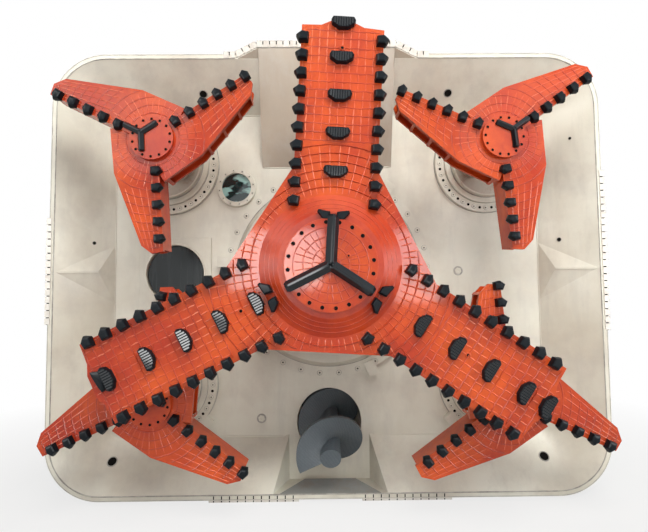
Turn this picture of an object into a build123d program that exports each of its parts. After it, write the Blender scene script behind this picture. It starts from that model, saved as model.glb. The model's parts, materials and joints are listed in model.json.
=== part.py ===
"""Front shield of a rectangular earth-pressure tunnelling machine.

One large three-spoke cutterhead turns in front of four smaller corner heads.
Millimetres, +X to the right seen from the front, +Y into the machine, +Z up.
y = 0 is the front face of the bulkhead and z = 0 is the ground under the skids.
"""
import math
import os

from build123d import *

os.makedirs("parts", exist_ok=True)

# Shield envelope
shell_w = 5400.0
shell_h = 4320.0
skid_t = 20.0
skin_t = 50.0
corner_r = 520.0
chamber_depth = 375.0
shield_rear = 1950.0
bump_half_top = 698.0
bump_half_foot = 905.0
bump_h = 110.0

# Bulkhead and pressure chamber
bulk_t = 60.0
bulk_inset = 487.0
bulk_corner_r = 60.0
slope_t = 30.0
top_ramp_half = 680.0
top_ramp_z = 3290.0
trough_half_rear = 410.0
trough_half_front = 545.0
trough_sill_z = 140.0
trough_sill_y = -190.0
plate_t = 30.0

# Axes
main_z = 2177.0
ring_x = 1660.0
ring_dz = 1140.0
head_x = 1539.0
head_dz = 1143.0

# Drive rings on the bulkhead
main_ring_r = 1075.0
main_ring_lip_r = 960.0
main_bore_r = 700.0
main_drum_r = 640.0
corner_ring_r = 518.0
corner_ring_lip_r = 425.0
corner_drum_r = 365.0
corner_drum_out = 150.0
corner_shaft_r = 190.0
ring_flange_t = 45.0
ring_lip_t = 75.0
ring_bolt_in = 46.0

# Corner heads, depths along Y
corner_back = -630.0
corner_front = -880.0
corner_plate_t = 40.0
corner_disc_r = 190.0
corner_disc_t = 45.0
corner_star_len = 166.0
corner_star_w = 60.0
corner_star_t = 42.0
corner_star_off = 98.0
corner_tip_r = 1005.0
corner_lead = 42.0
corner_trail = 352.0

# Main cutterhead, depths along Y
main_back = -985.0
main_front = -1205.0
main_plate_t = 45.0
spoke_half = 340.0
hub_flat = 690.0
band_r = 573.0
band_top_r = 420.0
band_t = 70.0
hub_disc_r = 370.0
hub_disc_t = 45.0
star_len = 395.0
star_w = 100.0
star_t = 60.0
spoke_turn = 86.4

# Cutting teeth
tooth_r = 58.0
tooth_out = 72.0
tooth_lip = 90.0
small_tooth_r = 56.0
small_tooth_out = 62.0
small_tooth_lip = 70.0
ripper_len = 205.0
ripper_w = 100.0
ripper_out = 66.0
pick_half = 72.0
pick_len = 105.0
pick_w = 74.0
pick_out = 122.0

# Screw conveyor
screw_z = 640.0
screw_bore_r = 330.0
screw_tilt = 18.0
casing_wall = 25.0
casing_end = 2050.0
auger_clear = 14.0
auger_shaft_r = 95.0
auger_front = 600.0
auger_pitch = 540.0
auger_turn = 153.0
flight_t = 34.0

# Running fits of shafts and pins
run_gap = 0.5
main_journal_r = 300.0
main_journal_len = 220.0
corner_seat = 120.0
auger_journal_len = 60.0

# Openings in the bulkhead
door_x = -1588.0
door_z = 2177.0
door_r = 293.0
doubler_half = 370.0
port_x = -950.0
port_z = 3075.0
port_ring_r = 198.0
port_glass_r = 152.0

# Rear joint flange
flange_w = 170.0
flange_t = 60.0
joint_half_x = 1800.0
joint_hole_r = 26.0

body_z = skid_t + shell_h / 2.0
joint_half_z = shell_h / 2.0 - skin_t - flange_w / 2.0
bulk_half_w = shell_w / 2.0 - bulk_inset
bulk_half_h = shell_h / 2.0 - bulk_inset
corners = (
    # name, side, level, first arm angle, hand
    ("upper_left", -1, 1, 153.4, 1),
    ("upper_right", 1, 1, 35.9, -1),
    ("lower_left", -1, -1, 83.1, 1),
    ("lower_right", 1, -1, 336.0, -1),
)


def front(y, x=0.0, z=0.0):
    """Drawing plane seen from the front: local x is X, local y is Z."""
    return Plane(origin=(x, y, z), x_dir=(1, 0, 0), z_dir=(0, -1, 0))


def turned(y, x, z, angle):
    """Front plane whose local x points along an arm."""
    a = math.radians(angle)
    return Plane(origin=(x, y, z), x_dir=(math.cos(a), 0, math.sin(a)), z_dir=(0, -1, 0))


def polyhedron(points, faces):
    """Closed solid from corner points and index lists."""
    sides = []
    for face in faces:
        wire = Wire.make_polygon([Vector(*points[i]) for i in face], close=True)
        sides.append(Face(wire))
    return Solid(Shell(sides))


def save(piece, name):
    piece.part.label = name
    export_step(piece.part, "parts/" + name + ".step")


# Shield skin with the raised top
def outline(grow):
    """Outer outline of the shield in the front view, moved outwards by grow."""
    half_w = shell_w / 2.0 + grow
    low = skid_t - grow
    high = skid_t + shell_h + grow
    with BuildSketch() as flat:
        with Locations((0, body_z)):
            RectangleRounded(2 * half_w, high - low, corner_r + grow)
        with BuildLine():
            Polyline(
                (-bump_half_foot - grow * 0.3, high - 60),
                (-bump_half_foot - grow * 0.3, high),
                (-bump_half_top - grow * 0.3, high + bump_h),
                (bump_half_top + grow * 0.3, high + bump_h),
                (bump_half_foot + grow * 0.3, high),
                (bump_half_foot + grow * 0.3, high - 60),
                close=True,
            )
        make_face()
    return flat.sketch


with BuildPart() as shield_shell:
    with BuildSketch(front(shield_rear)):
        add(outline(0.0))
    extrude(amount=shield_rear + chamber_depth)
    with BuildSketch(front(shield_rear)):
        add(outline(-skin_t))
    extrude(amount=shield_rear + chamber_depth, mode=Mode.SUBTRACT)
save(shield_shell, "shield_shell")

# Bulkhead
tilt = math.radians(screw_tilt)
screw_dir = Plane(origin=(0, 0, screw_z), x_dir=(1, 0, 0), z_dir=(0, math.cos(tilt), math.sin(tilt)))
casing_r = screw_bore_r + casing_wall
casing_len = casing_end / math.cos(tilt)

with BuildPart() as bulkhead:
    with BuildSketch(front(bulk_t)):
        add(outline(-skin_t))
    extrude(amount=bulk_t)
    with BuildSketch(front(bulk_t)):
        with Locations((0, main_z)):
            Circle(main_bore_r)
        with Locations((door_x, door_z)):
            Circle(door_r + 4)
        with Locations((port_x, port_z)):
            Circle(port_glass_r)
    extrude(amount=bulk_t, mode=Mode.SUBTRACT)
    with BuildSketch(screw_dir.offset(-400)):
        Circle(casing_r)
    extrude(amount=900, mode=Mode.SUBTRACT)
save(bulkhead, "bulkhead")


# Sloped chamber walls
def funnel(front_inset, rear_inset, rear_y):
    with BuildPart() as body:
        with BuildSketch(front(-chamber_depth)):
            with Locations((0, body_z)):
                RectangleRounded(shell_w - 2 * front_inset, shell_h - 2 * front_inset, corner_r - front_inset)
        with BuildSketch(front(rear_y)):
            with Locations((0, body_z)):
                RectangleRounded(shell_w - 2 * rear_inset, shell_h - 2 * rear_inset, bulk_corner_r)
        loft()
    return body.part


trough_points = [
    (-trough_half_front, -chamber_depth, skid_t + skin_t),
    (trough_half_front, -chamber_depth, skid_t + skin_t),
    (trough_half_front, -chamber_depth, skid_t + skin_t + 700),
    (-trough_half_front, -chamber_depth, skid_t + skin_t + 700),
    (-trough_half_rear, 0, skid_t + skin_t),
    (trough_half_rear, 0, skid_t + skin_t),
    (trough_half_rear, 0, skid_t + skin_t + 700),
    (-trough_half_rear, 0, skid_t + skin_t + 700),
]
box_faces = [(0, 1, 2, 3), (4, 7, 6, 5), (0, 4, 5, 1), (1, 5, 6, 2), (2, 6, 7, 3), (3, 7, 4, 0)]
trough_space = polyhedron(trough_points, box_faces)
slope_reach = slope_t * 1.4
with BuildPart() as reach:
    with Locations((0, -chamber_depth / 2, skid_t + skin_t + 250)):
        Box(2 * trough_half_front + 2 * plate_t, chamber_depth, 500)
trough_reach = reach.part
chamber_space = funnel(skin_t, bulk_inset, 0.0)

with BuildPart() as chamber_walls:
    add(funnel(skin_t - 2.0, bulk_inset - slope_reach, 0.0))
    add(chamber_space, mode=Mode.SUBTRACT)
    add(trough_space, mode=Mode.SUBTRACT)
    with BuildSketch(front(0)):
        add(outline(-skin_t))
    extrude(amount=chamber_depth, mode=Mode.INTERSECT)
    with Locations((0, -chamber_depth / 2.0, skid_t + shell_h - 500)):
        Box(2 * top_ramp_half, chamber_depth + 10, 1200, mode=Mode.SUBTRACT)
save(chamber_walls, "chamber_walls")

# Steep plate under the raised top
ramp_top_z = skid_t + shell_h + bump_h - skin_t
with BuildPart() as top_ramp:
    with BuildSketch(Plane(origin=(-top_ramp_half, 0, 0), x_dir=(0, 1, 0), z_dir=(1, 0, 0))):
        with BuildLine():
            Polyline(
                (-chamber_depth, ramp_top_z),
                (0, top_ramp_z),
                (0, ramp_top_z),
                close=True,
            )
        make_face()
    extrude(amount=2 * top_ramp_half)
    for side in (-1, 1):
        points = [
            (side * (bump_half_foot - 15), -chamber_depth, skid_t + shell_h - skin_t),
            (side * (top_ramp_half + 3), -chamber_depth, ramp_top_z),
            (side * (top_ramp_half - 1), 0, body_z + bulk_half_h),
            (side * (top_ramp_half - 1), 0, ramp_top_z),
        ]
        add(polyhedron(points, [(0, 1, 2), (0, 3, 1), (0, 2, 3), (1, 3, 2)]))
    add(chamber_walls.part, mode=Mode.SUBTRACT)
    with BuildSketch(front(0)):
        add(outline(-skin_t))
    extrude(amount=chamber_depth, mode=Mode.INTERSECT)
save(top_ramp, "top_ramp")

# Screw inlet trough between the lower chamber walls
sill_low = skid_t + skin_t
gusset_rise = bulk_inset + skid_t + 10
with BuildPart() as inlet_trough:
    for side in (-1, 1):
        points = [
            (side * trough_half_front, -chamber_depth + 4, sill_low),
            (side * (trough_half_front + plate_t), -chamber_depth + 4, sill_low),
            (side * trough_half_rear, 0, sill_low),
            (side * (trough_half_rear + plate_t), 0, sill_low),
            (side * trough_half_rear, 0, gusset_rise),
            (side * (trough_half_rear + plate_t), 0, gusset_rise),
        ]
        add(polyhedron(points, [(0, 1, 3, 2), (2, 3, 5, 4), (0, 4, 5, 1), (0, 2, 4), (1, 5, 3)]))
    half = trough_half_front - 60
    sill = 250.0
    points = [
        (-half, -chamber_depth + 4, sill_low),
        (half, -chamber_depth + 4, sill_low),
        (sill, trough_sill_y, trough_sill_z),
        (-sill, trough_sill_y, trough_sill_z),
        (-sill, trough_sill_y, sill_low),
        (sill, trough_sill_y, sill_low),
    ]
    add(polyhedron(points, [(0, 1, 2, 3), (3, 2, 5, 4), (0, 4, 5, 1), (0, 3, 4), (1, 5, 2)]))
    add(chamber_walls.part, mode=Mode.SUBTRACT)
    add(trough_reach, mode=Mode.INTERSECT)
save(inlet_trough, "inlet_trough")

# Pyramid stiffeners on the side slopes
with BuildPart() as side_wedges:
    for side in (-1, 1):
        wall = shell_w / 2.0 - skin_t
        flat = bulk_half_w
        points = [
            (side * wall, -chamber_depth + 2, main_z + 10),
            (side * (flat + 110), -150, main_z + 20),
            (side * flat, 0, main_z + 300),
            (side * flat, 0, main_z - 300),
            (side * wall, 0, main_z + 200),
            (side * wall, 0, main_z - 200),
        ]
        add(polyhedron(points, [(0, 1, 2), (0, 3, 1), (1, 3, 2), (2, 3, 5, 4), (0, 2, 4), (0, 5, 3), (0, 4, 5)]))
    add(chamber_space, mode=Mode.INTERSECT)
save(side_wedges, "side_wedges")

# Skids under the shield and wear blocks round the front rim
skid_rows = (
    # middle, width, front end
    (-725.0, 850.0, -chamber_depth),
    (0.0, 240.0, -chamber_depth + 200),
    (725.0, 850.0, -chamber_depth),
)
with BuildPart() as skids:
    for middle, width, front_end in skid_rows:
        with Locations((middle, (shield_rear + front_end) / 2, skid_t / 2)):
            Box(width, shield_rear - front_end, skid_t)
save(skids, "skids")

wear_t = 26.0
wear_len = 150.0
with BuildPart() as side_wear_blocks:
    for side, low, high in ((-1, 1680.0, 2713.0), (1, 1581.0, 3151.0)):
        with Locations((side * (shell_w / 2 + wear_t / 2), -chamber_depth + wear_len / 2, (low + high) / 2)):
            Box(wear_t, wear_len, high - low)
save(side_wear_blocks, "side_wear_blocks")

rise = skid_t + shell_h
with BuildPart() as top_wear_blocks:
    with BuildSketch(front(-chamber_depth + wear_len)):
        with BuildLine():
            Polyline(
                (-bump_half_foot - 120, rise),
                (-bump_half_foot - 120, rise + wear_t),
                (-bump_half_foot, rise + wear_t),
                (-bump_half_top, rise + bump_h + wear_t),
                (bump_half_top, rise + bump_h + wear_t),
                (bump_half_foot, rise + wear_t),
                (bump_half_foot + 120, rise + wear_t),
                (bump_half_foot + 120, rise),
                (bump_half_foot, rise),
                (bump_half_top, rise + bump_h),
                (-bump_half_top, rise + bump_h),
                (-bump_half_foot, rise),
                close=True,
            )
        make_face()
    extrude(amount=wear_len)
save(top_wear_blocks, "top_wear_blocks")

# Drive rings
with BuildPart() as main_drive_ring:
    with BuildSketch(front(0, 0, main_z)):
        Circle(main_ring_r)
        Circle(main_bore_r, mode=Mode.SUBTRACT)
    extrude(amount=ring_flange_t)
    with BuildSketch(front(-ring_flange_t, 0, main_z)):
        Circle(main_ring_lip_r)
        Circle(main_bore_r, mode=Mode.SUBTRACT)
    extrude(amount=ring_lip_t, taper=30)
    with BuildSketch(front(0, 0, main_z)):
        with PolarLocations(main_ring_r, 3, start_angle=-66, rotate=True):
            Rectangle(150, 110)
        Circle(main_ring_lip_r, mode=Mode.SUBTRACT)
    extrude(amount=ring_flange_t + 25)
    with BuildSketch(front(-ring_flange_t - ring_lip_t, 0, main_z)):
        Circle(main_bore_r)
    extrude(amount=-ring_flange_t - ring_lip_t, mode=Mode.SUBTRACT)
save(main_drive_ring, "main_drive_ring")

with BuildPart() as corner_drive_rings:
    for name, side, level, angle, hand in corners:
        x = side * ring_x
        z = main_z + level * ring_dz
        with BuildSketch(front(0, x, z)):
            Circle(corner_ring_r)
        extrude(amount=ring_flange_t)
        with BuildSketch(front(-ring_flange_t, x, z)):
            Circle(corner_ring_lip_r)
        extrude(amount=35)
        with BuildSketch(front(0, x, z)):
            Circle(corner_drum_r)
        extrude(amount=corner_drum_out)
        with BuildSketch(front(0, x, z)):
            with PolarLocations(corner_ring_r + 30, 1, start_angle=90 - level * side * 131):
                Rectangle(110, 90)
        extrude(amount=ring_flange_t + 20)
        with BuildSketch(front(-corner_drum_out + corner_seat, side * head_x, main_z + level * head_dz)):
            Circle(corner_shaft_r + run_gap)
        extrude(amount=corner_seat, mode=Mode.SUBTRACT)
save(corner_drive_rings, "corner_drive_rings")

# Drives behind the bulkhead
main_box_r = 880.0
main_box_len = 520.0
with BuildPart() as main_drive_housing:
    with BuildSketch(front(bulk_t + main_box_len, 0, main_z)):
        Circle(main_box_r)
    extrude(amount=main_box_len)
    with BuildSketch(front(bulk_t + main_box_len + 110, 0, main_z)):
        Circle(300)
    extrude(amount=110)
    with BuildSketch(front(bulk_t + main_journal_len, 0, main_z)):
        Circle(main_journal_r + run_gap)
    extrude(amount=main_journal_len, mode=Mode.SUBTRACT)
save(main_drive_housing, "main_drive_housing")

motor_spots = (30.0, 90.0, 150.0, 210.0, 330.0)
with BuildPart() as main_drive_motors:
    for angle in motor_spots:
        a = math.radians(angle)
        x = 620 * math.cos(a)
        z = main_z + 620 * math.sin(a)
        with BuildSketch(front(bulk_t + main_box_len + 130, x, z)):
            Circle(190)
        extrude(amount=130)
        with BuildSketch(front(bulk_t + main_box_len + 620, x, z)):
            Circle(150)
        extrude(amount=490)
save(main_drive_motors, "main_drive_motors")

with BuildPart() as corner_drive_housings:
    for name, side, level, angle, hand in corners:
        x = side * ring_x
        z = main_z + level * ring_dz
        with BuildSketch(front(bulk_t + 380, x, z)):
            Circle(430)
        extrude(amount=380)
        with BuildSketch(front(bulk_t + 700, x, z)):
            Circle(260)
        extrude(amount=320)
save(corner_drive_housings, "corner_drive_housings")

with BuildPart() as corner_drive_motors:
    for name, side, level, angle, hand in corners:
        x = side * ring_x
        z = main_z + level * ring_dz
        with BuildSketch(front(bulk_t + 1250, x, z)):
            Circle(175)
        extrude(amount=550)
save(corner_drive_motors, "corner_drive_motors")

# Screw conveyor casing and its drive
with BuildPart() as screw_casing:
    with BuildSketch(screw_dir.offset(-200)):
        Circle(casing_r)
        Circle(screw_bore_r, mode=Mode.SUBTRACT)
    extrude(amount=casing_len + 200)
    with BuildSketch(screw_dir.offset(casing_len - 60)):
        Circle(casing_r + 60)
        Circle(screw_bore_r, mode=Mode.SUBTRACT)
    extrude(amount=60)
    with BuildSketch(front(0, 0, screw_z)):
        Rectangle(1200, 1200)
    extrude(amount=500, mode=Mode.SUBTRACT)
save(screw_casing, "screw_casing")

with BuildPart() as screw_drive:
    with BuildSketch(screw_dir.offset(casing_len)):
        Circle(casing_r + 60)
    extrude(amount=90)
    with BuildSketch(screw_dir.offset(casing_len + 90)):
        Circle(230)
    extrude(amount=420)
    with BuildSketch(screw_dir.offset(casing_len)):
        Circle(auger_shaft_r + run_gap)
    extrude(amount=auger_journal_len, mode=Mode.SUBTRACT)
save(screw_drive, "screw_drive")

# Auger
flight_r = screw_bore_r - auger_clear
auger_len = auger_front + casing_len - 70
flight_mid = (auger_shaft_r - 10 + flight_r) / 2
with BuildPart() as screw_auger:
    with BuildLine():
        Helix(pitch=auger_pitch, height=auger_len, radius=flight_mid)
    with BuildSketch(Plane.XZ):
        with Locations((flight_mid, 0)):
            Rectangle(flight_r - auger_shaft_r + 10, flight_t)
    sweep(is_frenet=True)
    with Locations((0, 0, -10)):
        Cylinder(auger_shaft_r, auger_front + casing_len + auger_journal_len - 4,
                 align=(Align.CENTER, Align.CENTER, Align.MIN))
screw_auger.part = screw_auger.part.rotate(Axis.Z, auger_turn)
screw_auger.part = screw_auger.part.moved(screw_dir.offset(-auger_front + 10).location)
save(screw_auger, "screw_auger")

# Round glazed port
with BuildPart() as port_ring:
    with BuildSketch(front(0, port_x, port_z)):
        Circle(port_ring_r)
        Circle(port_glass_r, mode=Mode.SUBTRACT)
    extrude(amount=40)
save(port_ring, "port_ring")

with BuildPart() as port_glass:
    with BuildSketch(front(30, port_x, port_z)):
        Circle(port_glass_r)
    extrude(amount=45)
save(port_glass, "port_glass")

# Access opening with its doubler plate and rearward door
door_t = 28.0
hinge_r = 22.0
hinge_y = bulk_t + 40.0
hinge_x = door_x - door_r - 90.0
with BuildPart() as door_doubler:
    with BuildSketch(front(0, door_x, door_z)):
        Rectangle(2 * doubler_half, 2 * doubler_half)
        Circle(door_r + 4, mode=Mode.SUBTRACT)
    extrude(amount=14)
save(door_doubler, "door_doubler")

with BuildPart() as door_hinge:
    for lift in (-170.0, 170.0):
        with BuildSketch(Plane.XY.offset(door_z + lift - 45)):
            with Locations((hinge_x, hinge_y)):
                Circle(hinge_r + 16)
            with Locations((hinge_x, (hinge_y + bulk_t) / 2)):
                Rectangle(2 * hinge_r + 32, hinge_y - bulk_t)
        extrude(amount=90)
    with BuildSketch(Plane.XY.offset(door_z - 240)):
        with Locations((hinge_x, hinge_y)):
            Circle(hinge_r - run_gap)
    extrude(amount=480)
save(door_hinge, "door_hinge")

with BuildPart() as access_door:
    with BuildSketch(front(bulk_t + 10, door_x, door_z)):
        Circle(door_r - 10)
    extrude(amount=bulk_t)
    with BuildSketch(front(bulk_t + 4 + door_t, door_x, door_z)):
        Circle(door_r + 45)
    extrude(amount=door_t)
    with BuildSketch(Plane.XY.offset(door_z - 100)):
        with Locations((hinge_x, hinge_y)):
            Circle(hinge_r + 16)
        with BuildLine():
            Polyline(
                (hinge_x, hinge_y - 16),
                (door_x - 100, bulk_t + 4 + door_t - 10),
                (door_x - 100, bulk_t + 4 + door_t + 30),
                (hinge_x, hinge_y + hinge_r + 8),
                close=True,
            )
        make_face()
        with Locations((hinge_x, hinge_y)):
            Circle(hinge_r, mode=Mode.SUBTRACT)
    extrude(amount=200)
save(access_door, "access_door")

# Rear joint flange
with BuildPart() as rear_flange:
    with BuildSketch(front(shield_rear, 0, 0)):
        add(outline(-skin_t))
        add(outline(-skin_t - flange_w), mode=Mode.SUBTRACT)
        for side in (-1, 1):
            for level in (-1, 1):
                with Locations((side * joint_half_x, body_z + level * joint_half_z)):
                    Circle(joint_hole_r, mode=Mode.SUBTRACT)
    extrude(amount=flange_t)
save(rear_flange, "rear_flange")


# Cutterhead arms
def arm_shape(points, angle, hand):
    """Arm outline turned about the axis; hand -1 mirrors it."""
    a = math.radians(angle)
    turned_points = []
    for r, n in points:
        n = n * hand
        turned_points.append((r * math.cos(a) - n * math.sin(a), r * math.sin(a) + n * math.cos(a)))
    return turned_points


def tooth_solid(y_face, x, z, angle, r, n, edge, side, size, out, lip):
    """Hexagonal cutter on a plate edge: head in front, lip hooked over the edge."""
    base = turned(y_face, x, z, angle)
    with BuildPart() as tooth:
        with BuildSketch(base):
            with Locations((r, n)):
                RegularPolygon(size, 6, rotation=30)
        extrude(amount=out * 0.6)
        with BuildSketch(base.offset(out * 0.6)):
            with Locations((r, n)):
                RegularPolygon(size, 6, rotation=30)
        extrude(amount=out * 0.4, taper=28)
        if lip:
            over = abs(n) + size * 0.8 - edge
            with BuildSketch(base):
                with Locations((r, side * (edge + over / 2))):
                    Rectangle(size * 1.3, over)
            extrude(amount=-lip)
    return tooth.part


spokes = (
    # turn, plate end, first tooth, ripper places, pick place
    (0.0, 1975.0, 507.0, (756.0, 1071.0, 1383.0, 1699.0, 1990.0), 422.0),
    (120.0, 2060.0, 622.0, (651.0, 965.0, 1283.0, 1603.0, 1946.0), 530.0),
    (240.0, 2015.0, 561.0, (857.0, 1181.0, 1499.0, 1823.0, 2025.0), 463.0),
)
tooth_pitch = 149.8
tooth_count = 10
tooth_line = 325.0


def spoke_points(tip):
    """Spoke outline from the axis to a tip with a short nose."""
    return [
        (0, -spoke_half),
        (tip - 12, -spoke_half),
        (tip, -174),
        (tip + 38, -90),
        (tip + 45, 100),
        (tip + 6, 180),
        (tip, spoke_half),
        (0, spoke_half),
    ]


hub_corner = 2 * hub_flat - 2 * spoke_half * math.sin(math.radians(60))


def main_outline(inset):
    with BuildSketch() as flat:
        hexagon = []
        for turn, tip, first, places, pick in spokes:
            with BuildLine():
                Polyline(*arm_shape(spoke_points(tip), spoke_turn + turn, 1), close=True)
            make_face()
            for edge in (-1, 1):
                hexagon.append(arm_shape([(hub_corner, edge * spoke_half)], spoke_turn + turn, 1)[0])
        with BuildLine():
            Polyline(*hexagon, close=True)
        make_face()
        if inset:
            offset(amount=-inset)
    return flat.sketch


rib_at = (860.0, 1170.0, 1480.0, 1790.0)
with BuildPart() as main_spokes:
    with BuildSketch(front(main_front + main_plate_t, 0, main_z)):
        add(main_outline(0))
    extrude(amount=main_plate_t)
    with BuildSketch(front(main_back, 0, main_z)):
        add(main_outline(70))
    extrude(amount=main_back - main_front - main_plate_t)
    with BuildSketch(front(main_back, 0, main_z)):
        add(main_outline(14))
    extrude(amount=35)
    for turn, tip, first, places, pick in spokes:
        for r in rib_at:
            with BuildSketch(turned(main_back, 0, main_z, spoke_turn + turn)):
                with Locations((r, 0)):
                    Rectangle(35, 2 * spoke_half - 30)
            extrude(amount=main_back - main_front - main_plate_t)
save(main_spokes, "main_spokes")

with BuildPart() as main_hub:
    with BuildSketch(front(main_front, 0, main_z)):
        Circle(band_r)
    with BuildSketch(front(main_front - band_t, 0, main_z)):
        Circle(band_top_r)
    loft()
    with BuildSketch(front(main_front - band_t, 0, main_z)):
        Circle(hub_disc_r)
    extrude(amount=hub_disc_t)
save(main_hub, "main_hub")

with BuildPart() as main_star:
    face_y = main_front - band_t - hub_disc_t
    for turn, tip, first, places, pick in spokes:
        with BuildSketch(turned(face_y, 0, main_z, spoke_turn + turn)):
            with Locations((star_len / 2 - 18, 0)):
                Rectangle(star_len + 36, star_w)
        extrude(amount=star_t, taper=32)
save(main_star, "main_star")

with BuildPart() as main_drum:
    with BuildSketch(front(0, 0, main_z)):
        Circle(main_drum_r)
    extrude(amount=-main_back)
    with BuildSketch(front(bulk_t + main_journal_len - 4, 0, main_z)):
        Circle(main_journal_r)
    extrude(amount=bulk_t + main_journal_len)
save(main_drum, "main_drum")

with BuildPart() as main_teeth:
    for turn, tip, first, places, pick in spokes:
        for side in (-1, 1):
            for k in range(tooth_count):
                r = first + k * tooth_pitch
                hook = tooth_lip if r > hub_corner + tooth_r else 0
                add(tooth_solid(main_front, 0, main_z, spoke_turn + turn, r, side * tooth_line,
                                spoke_half, side, tooth_r, tooth_out, hook))
    add(main_hub.part, mode=Mode.SUBTRACT)
save(main_teeth, "main_teeth")

with BuildPart() as main_rippers:
    for turn, tip, first, places, pick in spokes:
        for r in places:
            with BuildSketch(turned(main_front, 0, main_z, spoke_turn + turn)):
                with Locations((r, 0)):
                    RectangleRounded(ripper_w, ripper_len, ripper_w * 0.44)
            extrude(amount=ripper_out, taper=18)
        for n in (-pick_half, pick_half):
            with BuildSketch(turned(main_front, 0, main_z, spoke_turn + turn)):
                with Locations((pick, n)):
                    Rectangle(pick_len, pick_w)
            extrude(amount=pick_out, taper=8)
    add(main_hub.part, mode=Mode.SUBTRACT)
save(main_rippers, "main_rippers")

# Corner heads
corner_points = [
    (corner_tip_r - 15, corner_lead),
    (corner_tip_r, -58),
    (corner_tip_r - 75, -145),
    (280, -corner_trail),
    (-120, -corner_trail - 16),
    (-120, corner_lead),
]
tooth_rows = (
    # turn from the first arm, first tooth, step, count
    (0.0, 322.0, 148.0, 5),
    (-120.0, 250.0, 146.0, 6),
    (120.0, 287.0, 148.5, 5),
)
small_tooth_n = 20.0


corner_wall_points = [
    (330, corner_lead - 62),
    (corner_tip_r - 30, corner_lead - 62),
    (corner_tip_r - 30, corner_lead),
    (330, corner_lead),
]


def corner_outline(angle, hand, inset):
    with BuildSketch() as flat:
        for turn in (0, 120, 240):
            with BuildLine():
                Polyline(*arm_shape(corner_points, angle + turn, hand), close=True)
            make_face()
        if inset:
            offset(amount=-inset)
    return flat.sketch


for name, side, level, angle, hand in corners:
    x = side * head_x
    z = main_z + level * head_dz
    with BuildPart() as arms:
        with BuildSketch(front(corner_front + corner_plate_t, x, z)):
            add(corner_outline(angle, hand, 0))
        extrude(amount=corner_plate_t)
        with BuildSketch(front(corner_back, x, z)):
            add(corner_outline(angle, hand, 60))
            for turn in (0, 120, 240):
                with BuildLine():
                    Polyline(*arm_shape(corner_wall_points, angle + turn, hand), close=True)
                make_face()
        extrude(amount=corner_back - corner_front - corner_plate_t)
        with BuildSketch(front(corner_back, x, z)):
            add(corner_outline(angle, hand, 16))
        extrude(amount=30)
        with BuildPart() as ribs:
            with BuildSketch(front(corner_back, x, z)):
                add(corner_outline(angle, hand, 10))
            extrude(amount=corner_back - corner_front - corner_plate_t)
            with BuildPart(mode=Mode.INTERSECT):
                for turn in (0, 120, 240):
                    for r in (360.0, 560.0, 760.0, 930.0):
                        with BuildSketch(turned(corner_back, x, z, angle + turn)):
                            with Locations((r, 0)):
                                Rectangle(26, 900)
                        extrude(amount=corner_back - corner_front - corner_plate_t)
        add(ribs.part)
    save(arms, "corner_arms_" + name)

    with BuildPart() as shaft:
        with BuildSketch(front(-corner_drum_out + corner_seat - 4, x, z)):
            Circle(corner_shaft_r)
        extrude(amount=-corner_back - corner_drum_out + corner_seat - 4)
    save(shaft, "corner_shaft_" + name)

    with BuildPart() as disc:
        with BuildSketch(front(corner_front, x, z)):
            Circle(corner_disc_r)
        extrude(amount=corner_disc_t)
        with BuildSketch(turned(corner_front, x, z, angle)):
            with Locations((corner_disc_r, 0)):
                Rectangle(136, 96)
        extrude(amount=corner_disc_t)
    save(disc, "corner_disc_" + name)

    with BuildPart() as teeth:
        for turn, first, pitch, count in tooth_rows:
            for k in range(count):
                r = first + k * pitch
                hook = small_tooth_lip if r > corner_trail + 2.2 * small_tooth_r else 0
                add(tooth_solid(corner_front, x, z, angle + turn * hand, r, hand * small_tooth_n,
                                corner_lead, hand, small_tooth_r, small_tooth_out, hook))
        for turn in (0, 120, 240):
            a = math.radians(angle)
            cx = x + corner_star_off * math.cos(a)
            cz = z + corner_star_off * math.sin(a)
            with BuildSketch(turned(corner_front - corner_disc_t, cx, cz, angle + turn)):
                with Locations((corner_star_len / 2 - 10, 0)):
                    Rectangle(corner_star_len + 20, corner_star_w)
            extrude(amount=corner_star_t, taper=24)
    save(teeth, "corner_teeth_" + name)
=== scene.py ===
"""Looks of the box-shaped tunnelling shield and its five cutterheads.

Metres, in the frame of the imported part: +X right seen from the front, +Y into the machine, +Z up.
"""

import json
import math
import random
from collections import namedtuple

import bpy
from mathutils import Matrix, Vector


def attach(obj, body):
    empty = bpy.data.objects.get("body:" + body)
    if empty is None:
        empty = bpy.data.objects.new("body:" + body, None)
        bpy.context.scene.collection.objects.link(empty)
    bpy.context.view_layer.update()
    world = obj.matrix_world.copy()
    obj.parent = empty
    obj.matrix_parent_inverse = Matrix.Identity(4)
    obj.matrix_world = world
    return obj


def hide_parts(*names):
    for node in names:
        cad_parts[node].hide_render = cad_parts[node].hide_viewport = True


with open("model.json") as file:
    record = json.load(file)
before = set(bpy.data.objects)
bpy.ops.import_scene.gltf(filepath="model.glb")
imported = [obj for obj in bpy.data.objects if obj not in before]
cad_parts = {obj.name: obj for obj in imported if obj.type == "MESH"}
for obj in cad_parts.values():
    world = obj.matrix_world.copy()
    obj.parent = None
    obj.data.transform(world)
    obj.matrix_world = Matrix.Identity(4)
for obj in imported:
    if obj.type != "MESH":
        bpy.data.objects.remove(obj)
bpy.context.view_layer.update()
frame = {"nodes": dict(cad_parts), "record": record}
rng = random.Random(7)

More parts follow.
